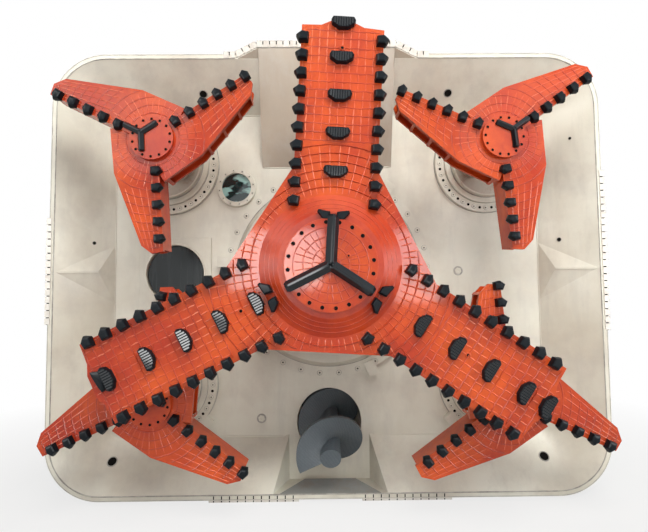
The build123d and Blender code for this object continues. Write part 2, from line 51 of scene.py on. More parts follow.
# Sizes that the solids set
MAIN_Z = 2.177
MAIN_FACE = -1.205
BAND_FACE = -1.275
DISC_FACE = -1.320
HUB_FLAT = 0.690
SPOKE_HALF = 0.340
SPOKE_TURN = 86.4
HUB_CORNER = 2 * HUB_FLAT - 2 * SPOKE_HALF * math.sin(math.radians(60))
CONE_FOOT = 0.573
CONE_TOP = 0.420
TOOTH_LINE = 0.325
TOOTH_PITCH = 0.1498
HEAD_X = 1.539
HEAD_DZ = 1.143
RING_X = 1.660
RING_DZ = 1.140
CORNER_FACE = -0.880
CORNER_DISC_FACE = -0.925
CORNER_LEAD = 0.042
CORNER_TRAIL = 0.352
CORNER_TIP = 1.005
CORNER_TEETH = (
    # turn from the first arm, first tooth, step, count
    (0.0, 0.322, 0.148, 5),
    (-120.0, 0.250, 0.146, 6),
    (120.0, 0.287, 0.1485, 5),
)
CORNER_TOOTH_N = 0.020
SHELL_W = 5.4
SHELL_TOP = 4.34
SHELL_FRONT = -0.375
RAISE = 0.110
RAISE_CROWN = 0.698
RAISE_FOOT = 0.905


# Finishes
class Wire:
    """A socket in a finish; arithmetic on it adds Math nodes."""

    def __init__(self, finish, socket):
        self.finish = finish
        self.socket = socket

    def maths(self, operation, first, second):
        settings = dict(operation=operation)
        return self.finish.node("ShaderNodeMath", settings, {0: first, 1: second})

    def __add__(self, other):
        return self.maths("ADD", self, other)

    def __sub__(self, other):
        return self.maths("SUBTRACT", self, other)

    def __rsub__(self, other):
        return self.maths("SUBTRACT", other, self)

    def __mul__(self, other):
        return self.maths("MULTIPLY", self, other)

    __radd__ = __add__
    __rmul__ = __mul__


class Nodes:
    """A node tree that is filled node by node."""

    def __init__(self, tree):
        self.tree = tree
        self.tree.nodes.clear()

    def _feed(self, socket, value):
        if isinstance(value, Wire):
            self.tree.links.new(value.socket, socket)
        elif isinstance(value, tuple) and len(value) == 3 and socket.type == "RGBA":
            socket.default_value = (*value, 1.0)
        else:
            socket.default_value = value

    def node(self, kind, settings=None, sockets=None, out=0):
        made = self.tree.nodes.new(kind)
        for key, value in (settings or {}).items():
            if key == "stops":
                ramp = made.color_ramp
                while len(ramp.elements) < len(value):
                    ramp.elements.new(0.5)
                for stop, (place, level) in zip(ramp.elements, value):
                    stop.position = place
                    stop.color = (level, level, level, 1.0)
            else:
                setattr(made, key, value)
        for key, value in (sockets or {}).items():
            self._feed(made.inputs[key], value)
        return Wire(self, made.outputs[out]) if out is not None else None

    def white_behind(self, plain, share):
        """White to the camera and in reflections, plain to everything else."""
        seen = self.node("ShaderNodeLightPath", out="Is Camera Ray")
        for kind in ("Is Glossy Ray", "Is Transmission Ray"):
            seen = seen.maths("MAXIMUM", seen, self.node("ShaderNodeLightPath", out=kind))
        matte = plain.socket.node.type == "BSDF_DIFFUSE"
        kind = "ShaderNodeEmission" if matte else "ShaderNodeBackground"
        white = self.node(kind, None, {"Color": (1, 1, 1), "Strength": 1.0})
        return self.node("ShaderNodeMixShader", None, {0: seen * share, 1: plain, 2: white})


class Finish(Nodes):
    """A node material with a Principled shader."""

    def __init__(self, name):
        self.material = bpy.data.materials.new(name)
        self.material.use_nodes = True
        super().__init__(self.material.node_tree)
        self.out = self.tree.nodes.new("ShaderNodeOutputMaterial")
        self.surface = self.tree.nodes.new("ShaderNodeBsdfPrincipled")
        self.tree.links.new(self.surface.outputs[0], self.out.inputs[0])

    def place(self, size=(1.0, 1.0, 1.0)):
        """Object coordinates, stretched."""
        spot = self.node("ShaderNodeTexCoord", out=3)
        return self.node("ShaderNodeMapping", None, {"Vector": spot, "Scale": size})

    def noise(self, scale, detail=4.0, rough=0.55, size=(1.0, 1.0, 1.0)):
        return self.node(
            "ShaderNodeTexNoise", None,
            {"Vector": self.place(size), "Scale": scale, "Detail": detail, "Roughness": rough},
        )

    def ramp(self, value, low, high):
        stops = ((low, 0.0), (high, 1.0))
        return self.node("ShaderNodeValToRGB", dict(stops=stops), {"Fac": value})

    def tint(self, amount, first, second):
        settings = dict(data_type="RGBA")
        return self.node("ShaderNodeMix", settings, {0: amount, 6: first, 7: second}, out=2)

    def bump(self, height, strength, distance):
        sockets = {"Height": height, "Strength": strength, "Distance": distance}
        return self.node("ShaderNodeBump", None, sockets)

    def edges(self, radius):
        """Mask that rises at outside edges."""
        round_off = self.node("ShaderNodeBevel", dict(samples=4), {"Radius": radius})
        true = self.node("ShaderNodeNewGeometry", out=1)
        settings = dict(operation="DOT_PRODUCT")
        dot = self.node("ShaderNodeVectorMath", settings, {0: round_off, 1: true}, out=1)
        return self.ramp(1 - dot, 0.02, 0.2)

    def finish(self, **sockets):
        for key, value in sockets.items():
            self._feed(self.surface.inputs[key.replace("_", " ")], value)
        return self.material


def cream(name, low, high, stains):
    """Dusty cream gloss paint with streaks, stains and flecks."""
    f = Finish(name)
    cloud = f.noise(0.9, 3.0)
    rub = f.noise(7.0, 6.0, 0.65, (1.0, 1.0, 0.35))
    streak = f.ramp(f.noise(3.4, 7.0, 0.7, (1.6, 1.6, 0.28)), 0.50, 0.78)
    stain = f.ramp(f.noise(1.25, 6.0, 0.62), 0.44, 0.72)
    dust = f.ramp(f.noise(2.6, 5.0, 0.60), 0.50, 0.74)
    fleck = f.ramp(f.noise(140.0, 2.0), 0.68, 0.74)
    base = f.tint(f.ramp(cloud, 0.3, 0.7), low, high)
    for mask, share, colour in (
        (streak, 0.42, (0.45, 0.43, 0.39)),
        (stain, stains, (0.44, 0.36, 0.27)),
        (dust, stains, (0.44, 0.41, 0.37)),
        (fleck, 0.3, (0.30, 0.25, 0.20)),
    ):
        base = f.tint(mask * share, base, colour)
    return f.finish(
        Base_Color=base,
        Roughness=0.34 + 0.24 * rub,
        Normal=f.bump(f.noise(26.0, 3.0) * 0.5 + rub, 0.12, 0.006),
        Specular_IOR_Level=0.4,
        Coat_Weight=0.2,
        Coat_Roughness=0.22,
    )


# Grey for seams, and for dark lines that paint the shade in gaps, grooves and round bolts and
# holes; grime varies its tone.
def seam_paint(name):
    f = Finish(name)
    grime = f.noise(9.0, 5.0, 0.65)
    return f.finish(
        Base_Color=f.tint(f.ramp(grime, 0.35, 0.65), (0.26, 0.245, 0.215), (0.46, 0.44, 0.39)),
        Roughness=0.5 + 0.2 * grime,
        Normal=f.bump(f.noise(70.0, 3.0), 0.2, 0.003),
    )


def orange(name, low, high, shade, coat, coat_rough, rough):
    """Orange red gloss paint with darker smears; where the smear colour is pale, the smears are
    painted glints.
    """
    f = Finish(name)
    cloud = f.ramp(f.noise(1.5, 5.0, 0.62), 0.36, 0.64)
    smear = f.ramp(f.noise(4.0, 7.0, 0.70, (1.0, 1.0, 0.7)), 0.48, 0.72)
    run = f.noise(14.0, 5.0, 0.6, (1.0, 1.0, 0.5))
    base = f.tint(cloud, low, high)
    base = f.tint(smear * 0.6, base, shade)
    base = f.tint(f.edges(0.005) * 0.3, base, (0.80, 0.15, 0.05))
    return f.finish(
        Base_Color=base,
        Roughness=rough + 0.18 * run,
        Normal=f.bump(f.noise(30.0, 4.0) + 0.5 * f.noise(110.0, 2.0), 0.22, 0.004),
        Specular_IOR_Level=0.05,
        Coat_Weight=coat,
        Coat_Roughness=coat_rough,
    )


def black_coat(name, gloss, grain_depth, plain):
    """Black coating with a fine grain."""
    f = Finish(name)
    grain = f.noise(95.0, 4.0)
    base = f.tint(f.noise(9.0, 3.0), (0.003, 0.005, 0.007), (0.009, 0.012, 0.015))
    base = f.tint(f.edges(0.004) * 0.5, base, (0.050, 0.056, 0.062))
    return f.finish(
        Base_Color=base,
        Roughness=0.26 + 0.22 * grain,
        Normal=f.bump(grain, grain_depth, 0.003),
        Specular_IOR_Level=plain,
        Coat_Weight=gloss,
        Coat_Roughness=0.07,
    )


def auger_paint(name):
    f = Finish(name)
    wave = f.node(
        "ShaderNodeTexWave", dict(wave_type="BANDS", bands_direction="DIAGONAL"),
        {"Vector": f.place(), "Scale": 19.0, "Distortion": 5.0, "Detail": 3.0, "Detail Scale": 2.5},
        out=1,
    )
    cloud = f.noise(4.0, 4.0)
    base = f.tint(cloud, (0.056, 0.070, 0.080), (0.090, 0.108, 0.120))
    base = f.tint(wave * 0.32, base, (0.034, 0.045, 0.056))
    return f.finish(
        Base_Color=base,
        Roughness=0.46 + 0.18 * cloud,
        Normal=f.bump(wave + 0.4 * f.noise(60.0, 3.0), 0.3, 0.005),
        Coat_Weight=0.12,
        Coat_Roughness=0.3,
    )


def pale_steel(name, low, high, dull, metal, rusty):
    f = Finish(name)
    streak = f.noise(60.0, 3.0, 0.5, (0.2, 1.0, 1.0))
    cloud = f.noise(5.0, 5.0)
    rust = f.ramp(f.noise(6.0, 6.0, 0.7), 0.50, 0.68)
    base = f.tint(cloud, low, high)
    base = f.tint(rust * rusty, base, (0.26, 0.16, 0.10))
    return f.finish(
        Base_Color=base,
        Metallic=metal,
        Roughness=dull + 0.2 * streak,
        Normal=f.bump(streak, 0.15, 0.003),
    )


def machine_paint(name, low, high):
    f = Finish(name)
    worn = tuple(c * 1.7 + 0.03 for c in high)
    cloud = f.noise(3.0, 5.0)
    rim = f.edges(0.008)
    base = f.tint(rim * 0.4, f.tint(cloud, low, high), worn)
    return f.finish(
        Base_Color=base,
        Roughness=0.38 + 0.25 * f.noise(18.0, 4.0),
        Normal=f.bump(f.noise(70.0, 3.0), 0.15, 0.003),
        Coat_Weight=0.3,
        Coat_Roughness=0.2,
    )


def door_coat(name):
    f = Finish(name)
    film = f.noise(3.2, 3.0, 0.5, (4.0, 1.0, 0.25))
    base = f.tint(film, (0.006, 0.009, 0.010), (0.018, 0.023, 0.024))
    return f.finish(
        Base_Color=base,
        Roughness=0.2 + 0.14 * film,
        Normal=f.bump(film, 0.2, 0.01),
        Specular_IOR_Level=0.25,
        Coat_Weight=0.25,
        Coat_Roughness=0.12,
    )


def sight_glass(name):
    f = Finish(name)
    # Pale teal patches in the glass's colour: painted reflections.
    band = f.ramp(f.noise(5.0, 3.0, 0.5, (0.8, 1.0, 1.6)), 0.53, 0.58)
    base = f.tint(band, (0.006, 0.024, 0.024), (0.30, 0.50, 0.47))
    return f.finish(
        Base_Color=base,
        Roughness=0.06 + 0.06 * band,
        Coat_Weight=1.0,
        Coat_Roughness=0.03,
    )


# Near black for sockets, hole floors and slots: painted shade of their depth.
def hole_dark(name):
    f = Finish(name)
    return f.finish(
        Base_Color=f.tint(f.noise(30.0, 3.0), (0.003, 0.003, 0.003), (0.010, 0.009, 0.008)),
        Roughness=0.75 + 0.2 * f.noise(50.0, 2.0),
        Specular_IOR_Level=0.05,
    )


FINISHES = {name: make(name, *values) for name, make, *values in (
    # low and high colour, share of stains
    ("shield_paint", cream, (0.620, 0.590, 0.495), (0.730, 0.715, 0.625), 0.42),
    # darker, browner cream for the top ramp: painted shade of the top spoke, and more stains
    ("ramp_paint", cream, (0.300, 0.242, 0.185), (0.430, 0.370, 0.295), 0.55),
    ("seam_paint", seam_paint),
    # low and high colour, smear colour, coat, roughness of the coat and of the paint
    ("cutter_paint", orange, (0.385, 0.031, 0.008), (0.575, 0.078, 0.009), (0.25, 0.022, 0.012),
     0.62, 0.08, 0.5),
    # darker copy of the cutter paint on weld beads: painted shade of the dark lines between glossy
    # cells
    ("bead_paint", orange, (0.340, 0.028, 0.007), (0.490, 0.056, 0.009), (0.23, 0.019, 0.010),
     1.0, 0.12, 0.45),
    # paler copy with pale smears for the long beads: painted glints, the bright dashes a lamp would
    # draw on them
    ("bead_worn", orange, (0.440, 0.042, 0.009), (0.640, 0.095, 0.022), (0.86, 0.30, 0.16),
     1.0, 0.12, 0.45),
    ("hub_paint", orange, (0.380, 0.031, 0.008), (0.540, 0.062, 0.009), (0.22, 0.020, 0.013),
     0.35, 0.26, 0.5),
    # gloss, depth of the grain, reflection under the gloss
    ("cutter_black", black_coat, 0.14, 0.25, 0.06),
    ("cutter_edge", black_coat, 1.0, 0.06, 0.04),
    ("star_coat", black_coat, 0.55, 0.10, 0.05),
    ("auger_paint", auger_paint),
    # low and high colour, dullness, share of metal, share of rust
    ("wear_steel", pale_steel, (0.52, 0.49, 0.44), (0.66, 0.63, 0.58), 0.45, 0.35, 0.3),
    ("shaft_steel", pale_steel, (0.45, 0.41, 0.35), (0.60, 0.56, 0.49), 0.34, 0.4, 0.3),
    # darker, rustier steel for the drum faces: rust and dirt, and painted shade behind the heads
    ("drum_steel", pale_steel, (0.34, 0.30, 0.24), (0.52, 0.48, 0.41), 0.36, 0.3, 0.7),
    ("sill_steel", pale_steel, (0.20, 0.205, 0.19), (0.30, 0.305, 0.29), 0.5, 0.2, 0.3),
    ("drive_paint", machine_paint, (0.30, 0.31, 0.30), (0.40, 0.41, 0.40)),
    ("motor_steel", machine_paint, (0.030, 0.045, 0.065), (0.055, 0.075, 0.10)),
    ("door_paint", door_coat),
    ("port_glass", sight_glass),
    ("hole_dark", hole_dark),
)}

slot_of = {part["node"]: part["material_slot"] for part in frame["record"]["subparts"]}
# The top ramp takes the darker cream that paints the top spoke's shade on it.
OWN_FINISH = {"main_hub": "hub_paint", "top_ramp": "ramp_paint", "screw_casing": "shield_paint"}
for name, solid in frame["nodes"].items():
    finish = FINISHES[OWN_FINISH.get(name, slot_of[name])]
    if not solid.material_slots:
        solid.data.materials.append(finish)
    for slot in solid.material_slots:
        slot.material = finish


# Mesh helpers
def stand(name, data):
    """Puts a new object in the scene."""
    obj = bpy.data.objects.new(name, data)
    bpy.context.scene.collection.objects.link(obj)
    return obj


RIGHT, UP = Vector((1, 0, 0)), Vector((0, 0, 1))
THIRDS = (0.0, 120.0, 240.0)
SINK = 0.001  # how far a fitting's foot goes into what carries it
BEAD_SINK = 0.0008
BEAD_STEP = 0.030
BEAD_SECTION = ((1.0, 0.0), (0.55, 0.72), (0.0, 1.0), (-0.55, 0.72), (-1.0, 0.0))
BEVEL_ANGLE = math.radians(28)
SHARP_ANGLE = math.radians(50)


class Mould:
    """Gathers corners and faces of one piece."""

    def __init__(self):
        self.points = []
        self.faces = []

    def layers(self, rings, cap=True, loop=False):
        """Rings of equal count, skinned one onto the next; loop joins the last to the first."""
        first, count, total = len(self.points), len(rings[0]), len(rings)
        for level in range(total if loop else total - 1):
            low = first + level * count
            high = first + (level + 1) % total * count
            for i in range(count):
                j = (i + 1) % count
                self.faces.append((low + i, low + j, high + j, high + i))
        if cap:
            last = first + (total - 1) * count
            self.faces.append(tuple(reversed(range(first, first + count))))
            self.faces.append(tuple(range(last, last + count)))
        for ring in rings:
            self.points.extend(ring)

    def piece(self, name, finish, body, bevel=0.0, smooth=False, replaces=(), slot=None):
        mesh = bpy.data.meshes.new(name)
        mesh.from_pydata([tuple(p) for p in self.points], [], self.faces)
        mesh.validate()
        obj = stand(name, mesh)
        mesh.materials.append(FINISHES[finish])
        bpy.context.view_layer.objects.active = obj
        obj.select_set(True)
        bpy.ops.object.mode_set(mode="EDIT")
        bpy.ops.mesh.select_all(action="SELECT")
        bpy.ops.mesh.normals_make_consistent(inside=False)
        bpy.ops.object.mode_set(mode="OBJECT")
        obj.select_set(False)
        if bevel:
            soft = obj.modifiers.new("soft_edges", "BEVEL")
            soft.width = bevel
            soft.segments = 2
            soft.limit_method = "ANGLE"
            soft.angle_limit = BEVEL_ANGLE
            soft.harden_normals = True
        if smooth or bevel:
            for face in mesh.polygons:
                face.use_smooth = True
            if not bevel:
                mesh.set_sharp_from_angle(angle=SHARP_ANGLE)
        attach(obj, body)
        if replaces:
            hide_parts(*replaces)


class Arm:
    """A line out from a centre on a face: r runs along it, n to its left seen from the front."""

    def __init__(self, centre, angle, face=0.0):
        self.centre = centre
        self.face = face
        self.cos = math.cos(math.radians(angle))
        self.sin = math.sin(math.radians(angle))

    def at(self, r, n, out=0.0):
        """A place on the arm, out in front of its face."""
        return Vector((
            self.centre[0] + r * self.cos - n * self.sin,
            self.face - out,
            self.centre[1] + r * self.sin + n * self.cos,
        ))

    def flat(self, places):
        """(x, z) of (r, n) places."""
        return [(p.x, p.z) for p in (self.at(r, n) for r, n in places)]


def circle(place, radius, sides, across=RIGHT, along=UP, start=0.0):
    """Evenly spaced places round another, the first at an angle."""
    place = Vector(place)
    ring = []
    for i in range(sides):
        a = math.radians(start) + 2 * math.pi * i / sides
        ring.append(place + across * (radius * math.cos(a)) + along * (radius * math.sin(a)))
    return ring


def axes_of(facing):
    """A direction and two more, square to it."""
    facing = Vector(facing).normalized()
    across = facing.orthogonal().normalized()
    return facing, across, facing.cross(across)


def inside(outline, x, z):
    hit = False
    last = outline[-1]
    for corner in outline:
        if (corner[1] > z) != (last[1] > z):
            if x < (last[0] - corner[0]) * (z - corner[1]) / (last[1] - corner[1]) + corner[0]:
                hit = not hit
        last = corner
    return hit


def face_test(centre, clear, plates):
    """Test for a place that is on one of the plates and clear of the disc in their middle."""
    def on_face(p):
        far = math.hypot(p.x - centre[0], p.z - centre[1])
        return far > clear and any(inside(plate, p.x, p.z) for plate in plates)
    return on_face


def weld_bead(mould, path, bead):
    """Half-round bead of (width, height), laid along front-facing points."""
    rows = []
    for i, p in enumerate(path):
        ahead = path[min(i + 1, len(path) - 1)] - path[max(i - 1, 0)]
        across = Vector((-ahead.z, 0.0, ahead.x)).normalized()
        swell = 1.0 + rng.uniform(-0.22, 0.22)
        half = bead[0] * swell / 2
        height = bead[1] * swell
        if i in (0, len(path) - 1):
            half, height = half * 0.5, height * 0.25
        rows.append([p + across * (half * wide)
                     + Vector((0, -height * tall if tall else BEAD_SINK, 0))
                     for wide, tall in BEAD_SECTION])
    mould.layers(rows)


def clipped_beads(mould, path, allowed, bead):
    """Lays the stretches of a path that are allowed."""
    run = []
    for p in path + [None]:
        if p is not None and allowed(p):
            run.append(p)
            continue
        if len(run) > 1:
            weld_bead(mould, run, bead)
        run = []


def arc(centre, radius, y, step=BEAD_STEP, wander=0.0, end=360):
    """Path round a centre, from 0 to end degrees; wander moves its points in and out."""
    count = max(3, int(end / 360 * 2 * math.pi * radius / step))
    path = []
    for i in range(count + 1):
        a = math.radians(end * i / count)
        r = radius + rng.uniform(-wander, wander)
        path.append(Vector((centre[0] + r * math.cos(a), y, centre[1] + r * math.sin(a))))
    return path


def line_on(arm, start, end, step=BEAD_STEP, wander=0.0):
    """Straight path between two (r, n) places on an arm."""
    length = math.hypot(end[0] - start[0], end[1] - start[1])
    count = max(2, int(length / step))
    path = []
    for i in range(count + 1):
        t = i / count
        r = start[0] + (end[0] - start[0]) * t + rng.uniform(-wander, wander)
        n = start[1] + (end[1] - start[1]) * t + rng.uniform(-wander, wander)
        path.append(arm.at(r, n))
    return path


# Main cutterhead
MAIN_CENTRE = (0.0, MAIN_Z)
Spoke = namedtuple("Spoke", "arm tip first_tooth rippers pick drain bead_height")
SPOKES = tuple(
    Spoke(Arm(MAIN_CENTRE, SPOKE_TURN + turn, MAIN_FACE), *sizes)
    for turn, *sizes in (
        (0.0, 1.975, 0.507, (0.756, 1.071, 1.383, 1.699, 1.990), 0.392, 1.792, 0.0045),
        (120.0, 2.060, 0.622, (0.651, 0.965, 1.283, 1.603, 1.946), 0.536, 0.798, 0.0070),
        (240.0, 2.015, 0.561, (0.857, 1.181, 1.499, 1.823, 2.025), 0.468, 1.300, 0.0070),
    )
)
BEAD_MARGIN = 0.008  # bare strip along the edges of a spoke
BEAD_CLEAR, FAN_START, FAN_END, FAN_STEP = 0.585, 0.588, 0.985, 5.0
FAN_BEAD, LONG_BEAD, ACROSS_WIDTH = (0.013, 0.0080), (0.0115, 0.0055), 0.012
COLUMN_STEP = 0.064


def spoke_outline(tip):
    """Part of a spoke's face that takes beads, from the hub's middle to the tip."""
    end, half = tip - BEAD_MARGIN, SPOKE_HALF - BEAD_MARGIN
    return [(0, -half), (end - 0.012, -half), (end, -0.174), (end + 0.038, -0.09),
            (end + 0.045, 0.10), (end + 0.006, 0.18), (end, half), (0, half)]


main_plates = [spoke.arm.flat(spoke_outline(spoke.tip)) for spoke in SPOKES]
hub_edge = [(HUB_CORNER - 0.012, side * (SPOKE_HALF - 0.004)) for side in (-1, 1)]
main_plates.append([corner for spoke in SPOKES for corner in spoke.arm.flat(hub_edge)])
on_main_plate = face_test(MAIN_CENTRE, BEAD_CLEAR, main_plates)

spoke_beads, long_beads = Mould(), Mould()
for k in range(6):
    path = arc(MAIN_CENTRE, 0.640 + 0.069 * k, MAIN_FACE, wander=0.0012)
    clipped_beads(spoke_beads, path, on_main_plate, FAN_BEAD)
for k in range(round(360 / FAN_STEP)):
    ray = Arm(MAIN_CENTRE, k * FAN_STEP + rng.uniform(-0.5, 0.5), MAIN_FACE)
    path = line_on(ray, (FAN_START, 0), (FAN_END, 0), wander=0.0012)
    clipped_beads(long_beads, path, on_main_plate, LONG_BEAD)
for spoke in SPOKES:
    row = FAN_END + 0.03
    shift = 0.0
    while row < spoke.tip + 0.02:
        path = line_on(spoke.arm, (row, -SPOKE_HALF), (row, SPOKE_HALF), wander=0.004)
        clipped_beads(spoke_beads, path, on_main_plate, (ACROSS_WIDTH, spoke.bead_height))
        next_row = row + rng.uniform(0.066, 0.080)
        if rng.random() < 0.3:
            shift = rng.uniform(-0.02, 0.02)
        for column in range(-5, 6):
            n = column * COLUMN_STEP + shift
            if abs(n) < SPOKE_HALF - 0.012:
                path = line_on(spoke.arm, (row, n), (next_row, n), 0.020, 0.0024)
                clipped_beads(long_beads, path, on_main_plate, LONG_BEAD)
        row = next_row
# Rings and cross rows in the darker bead paint: painted shade.
spoke_beads.piece("spoke_weld_beads", "bead_paint", "main_head", smooth=True, slot="cutter_paint")
# Long beads in the paler bead paint with pale smears: painted glints.
long_beads.piece("spoke_long_beads", "bead_worn", "main_head", smooth=True, slot="cutter_paint")

# Hub disc: a thin skin, beads in rings and rays, and lines on the cone round it
disc_skin = Mould()
disc_skin.layers([arc(MAIN_CENTRE, radius, DISC_FACE - out, 2 * math.pi * radius / 72, end=355)
                  for radius, out in ((0.368, -0.0005), (0.368, 0.0010), (0.364, 0.0015))])
disc_skin.piece("hub_disc_skin", "cutter_paint", "main_head")

disc_beads = Mould()
for radius in (0.455, 0.492, 0.530):
    climb = (CONE_FOOT - radius) / (CONE_FOOT - CONE_TOP)
    cone_y = MAIN_FACE + (BAND_FACE - MAIN_FACE) * climb
    weld_bead(disc_beads, arc(MAIN_CENTRE, radius, cone_y - 0.0005, wander=0.0006), (0.007, 0.0022))
for radius in (0.075, 0.145, 0.220, 0.297):
    weld_bead(disc_beads, arc(MAIN_CENTRE, radius, DISC_FACE, 0.022, 0.001), (0.013, 0.005))
for low, high, count in ((0.020, 0.145, 15), (0.145, 0.297, 29)):
    for k in range(count):
        ray = Arm(MAIN_CENTRE, 360 * k / count + rng.uniform(-2, 2) + low * 90, DISC_FACE)
        weld_bead(disc_beads, line_on(ray, (low, 0), (high, 0), 0.022, 0.001), (0.012, 0.005))
# Disc beads in the darker bead paint: painted shade.
disc_beads.piece("hub_disc_beads", "bead_paint", "main_head", smooth=True, slot="cutter_paint")


def prism(mould, arm, levels):
    """Cutter body: rings of (r, n) places, each at its own height out of the face."""
    mould.layers([[arm.at(r, n, out) for r, n in ring] for out, ring in levels])


def oblong(r_low, r_high, n_low, n_high):
    return [(r_low, n_low), (r_high, n_low), (r_high, n_high), (r_low, n_high)]


def scaled(ring, factor, about, slide=0.0):
    """Ring drawn in towards a place, then slid along n."""
    return [(about[0] + (r - about[0]) * factor, about[1] + (n - about[1]) * factor + slide)
            for r, n in ring]


TOOTH_SHAPE = ((-0.72, -0.84), (0.66, -0.90), (0.86, 0.22), (0.16, 1.08), (-0.76, 0.62))


def edge_tooth(mould, arm, r, n, size, out, hook, edge):
    """Faceted cutter that points out over the plate edge on its side of the arm."""
    side = math.copysign(1, n)
    turn = math.radians(rng.uniform(-5, 5))
    c, s = math.cos(turn), math.sin(turn)
    ring = [(r + (u * c - v * s) * size, n + (u * s + v * c) * size * side) for u, v in TOOTH_SHAPE]
    middle = (r, n + 0.05 * size * side)
    prism(mould, arm, (
        (-SINK, ring),
        (out * 0.55, scaled(ring, 0.98, middle)),
        (out * 0.90, scaled(ring, 0.80, middle, -0.05 * size * side)),
        (out, scaled(ring, 0.52, middle, -0.08 * size * side)),
    ))
    if hook:
        half = size * 0.42
        box = oblong(r - half, r + half, side * edge, side * (abs(n) + size * 0.60))
        small = scaled(box, 0.8, (r, side * edge))
        prism(mould, arm, ((-hook, small), (-hook * 0.75, box), (0.002, box)))


main_teeth = Mould()
for spoke in SPOKES:
    for side in (-1, 1):
        for k in range(10):
            r = spoke.first_tooth + k * TOOTH_PITCH
            hook = 0.055 if r > HUB_CORNER + 0.058 else 0.0
            edge_tooth(main_teeth, spoke.arm, r, side * TOOTH_LINE, 0.054, 0.072, hook, SPOKE_HALF)
main_teeth.piece("spoke_teeth", "cutter_black", "main_head", 0.003, replaces=("main_teeth",))

RIPPER_OUTLINE = ((0.048, 0.088), (0.048, -0.088), (0.022, -0.103), (-0.010, -0.092),
                  (-0.044, -0.040), (-0.046, 0.036), (-0.008, 0.094), (0.024, 0.102))
BARS, BAR_STEP, BAR_HALF, BAR_END = 8, 0.0205, 0.0075, 0.036
BAR_STARTS = (0.036, 0.034, 0.026, 0.010)  # from the middle bars to the outer ones
PICK_OUTLINE = ((-0.040, 0.016), (0.030, 0.026), (0.044, 0.122), (0.022, 0.130), (-0.040, 0.080))
GAUGE_TIP = ((1.962, -0.072), (2.058, -0.106), (2.056, -0.050), (2.046, 0.030),
             (2.034, 0.078), (2.004, 0.070), (1.975, 0.0))
rippers, ripper_bars = Mould(), Mould()
for spoke in SPOKES:
    for place in spoke.rippers:
        ring = [(place + r, n) for r, n in RIPPER_OUTLINE]
        prism(rippers, spoke.arm, (
            (-SINK, ring),
            (0.044, scaled(ring, 0.98, (place, 0.0))),
            (0.0535, scaled(ring, 0.90, (place, 0.0))),
        ))
        for k in range(BARS):
            from_middle = k - (BARS - 1) / 2
            n = from_middle * BAR_STEP
            low, high = place - BAR_STARTS[int(abs(from_middle))], place + BAR_END
            bar = oblong(low, high, n - BAR_HALF, n + BAR_HALF)
            crest = oblong(low, high, n + 0.0048, n + 0.0060)
            prism(ripper_bars, spoke.arm, ((0.050, bar), (0.0538, bar), (0.0592, crest)))
    for side in (-1, 1):
        ring = [(spoke.pick + r, side * n) for r, n in PICK_OUTLINE]
        middle = (spoke.pick, side * 0.07)
        prism(rippers, spoke.arm, (
            (0.02, ring),
            (0.105, scaled(ring, 0.98, middle)),
            (0.122, scaled(ring, 0.72, middle)),
        ))
prism(rippers, SPOKES[1].arm, (
    (-SINK, GAUGE_TIP),
    (0.034, scaled(GAUGE_TIP, 0.98, (2.02, -0.02))),
    (0.058, scaled(GAUGE_TIP, 0.30, (1.99, -0.01))),
))
rippers.piece("spoke_rippers", "cutter_black", "main_head", 0.002, replaces=("main_rippers",))
ripper_bars.piece("ripper_bars", "cutter_edge", "main_head", slot="cutter_black")

RIDGE_SECTION = ((-1.0, 0.0), (-1.0, 0.30), (-0.34, 1.0), (0.10, 1.0), (1.0, 0.42), (1.0, 0.0))


def ridge_arm(mould, arm, start, length, width, height):
    """Roof-shaped cutter bar; its section is in shares of half the width and of the height."""
    half = width / 2
    section = [(half * wide, height * tall) for wide, tall in RIDGE_SECTION]
    mould.layers([[arm.at(r, n * share, h * share) for n, h in section]
                  for r, share in ((start, 1.0), (length * 0.94, 1.0), (length, 0.72))])


star = Mould()
for turn in THIRDS:
    arm = Arm(MAIN_CENTRE, SPOKE_TURN + turn, DISC_FACE + SINK)
    ridge_arm(star, arm, -0.03, 0.395, 0.092, 0.060)
star.piece("centre_cutter", "star_coat", "main_head", 0.003, replaces=("main_star",),
           slot="cutter_black")

BOLT_SIDES = 14


def hoop(mould, centre, profile, sides=72):
    """Turned ring from a closed (radius, y) section."""
    mould.layers([circle((centre[0], y, centre[1]), radius, sides) for radius, y in profile],
                 cap=False, loop=True)


def shade_ring(mould, centre, radius, width, face, rise, foot=0.001, sides=80):
    """Dark line of painted shade round a step: rise high at the step, foot high outside."""
    hoop(mould, centre, [(radius, face + SINK), (radius, face - rise),
                         (radius + width, face - foot), (radius + width, face + SINK)], sides)


def round_bolt(mould, dark, centre, radius, y, height, socket=0.5):
    """Bolt head facing front, its socket filled with a near-black plug of painted shade."""
    def ring(share, out):
        return circle((centre[0], y - out, centre[1]), radius * share, BOLT_SIDES)
    mould.layers([ring(1.0, -SINK), ring(1.0, height * 0.8), ring(0.9, height),
                  ring(socket * 1.08, height), ring(socket, height * 0.25)])
    dark.layers([ring(socket * 0.98, height * 0.1), ring(socket * 0.98, height * 0.45)])


def bolt_circle(mould, dark, centre, face, bolts, edge=None):
    """Evenly spaced bolts; edge is the mould for a dark line of painted shade round each.

    bolts gives the circle's radius, how many, a bolt's radius and height, the first one's angle
    and the socket's share of the head.
    """
    ring, count, radius, height, start, socket = bolts
    for place in circle((centre[0], face, centre[1]), ring, count, start=start):
        middle = (place.x, place.z)
        round_bolt(mould, dark, middle, radius, face, height, socket)
        if edge:
            shade_ring(edge, middle, radius, radius * 0.17, face, 0.003, 0.0015, BOLT_SIDES)


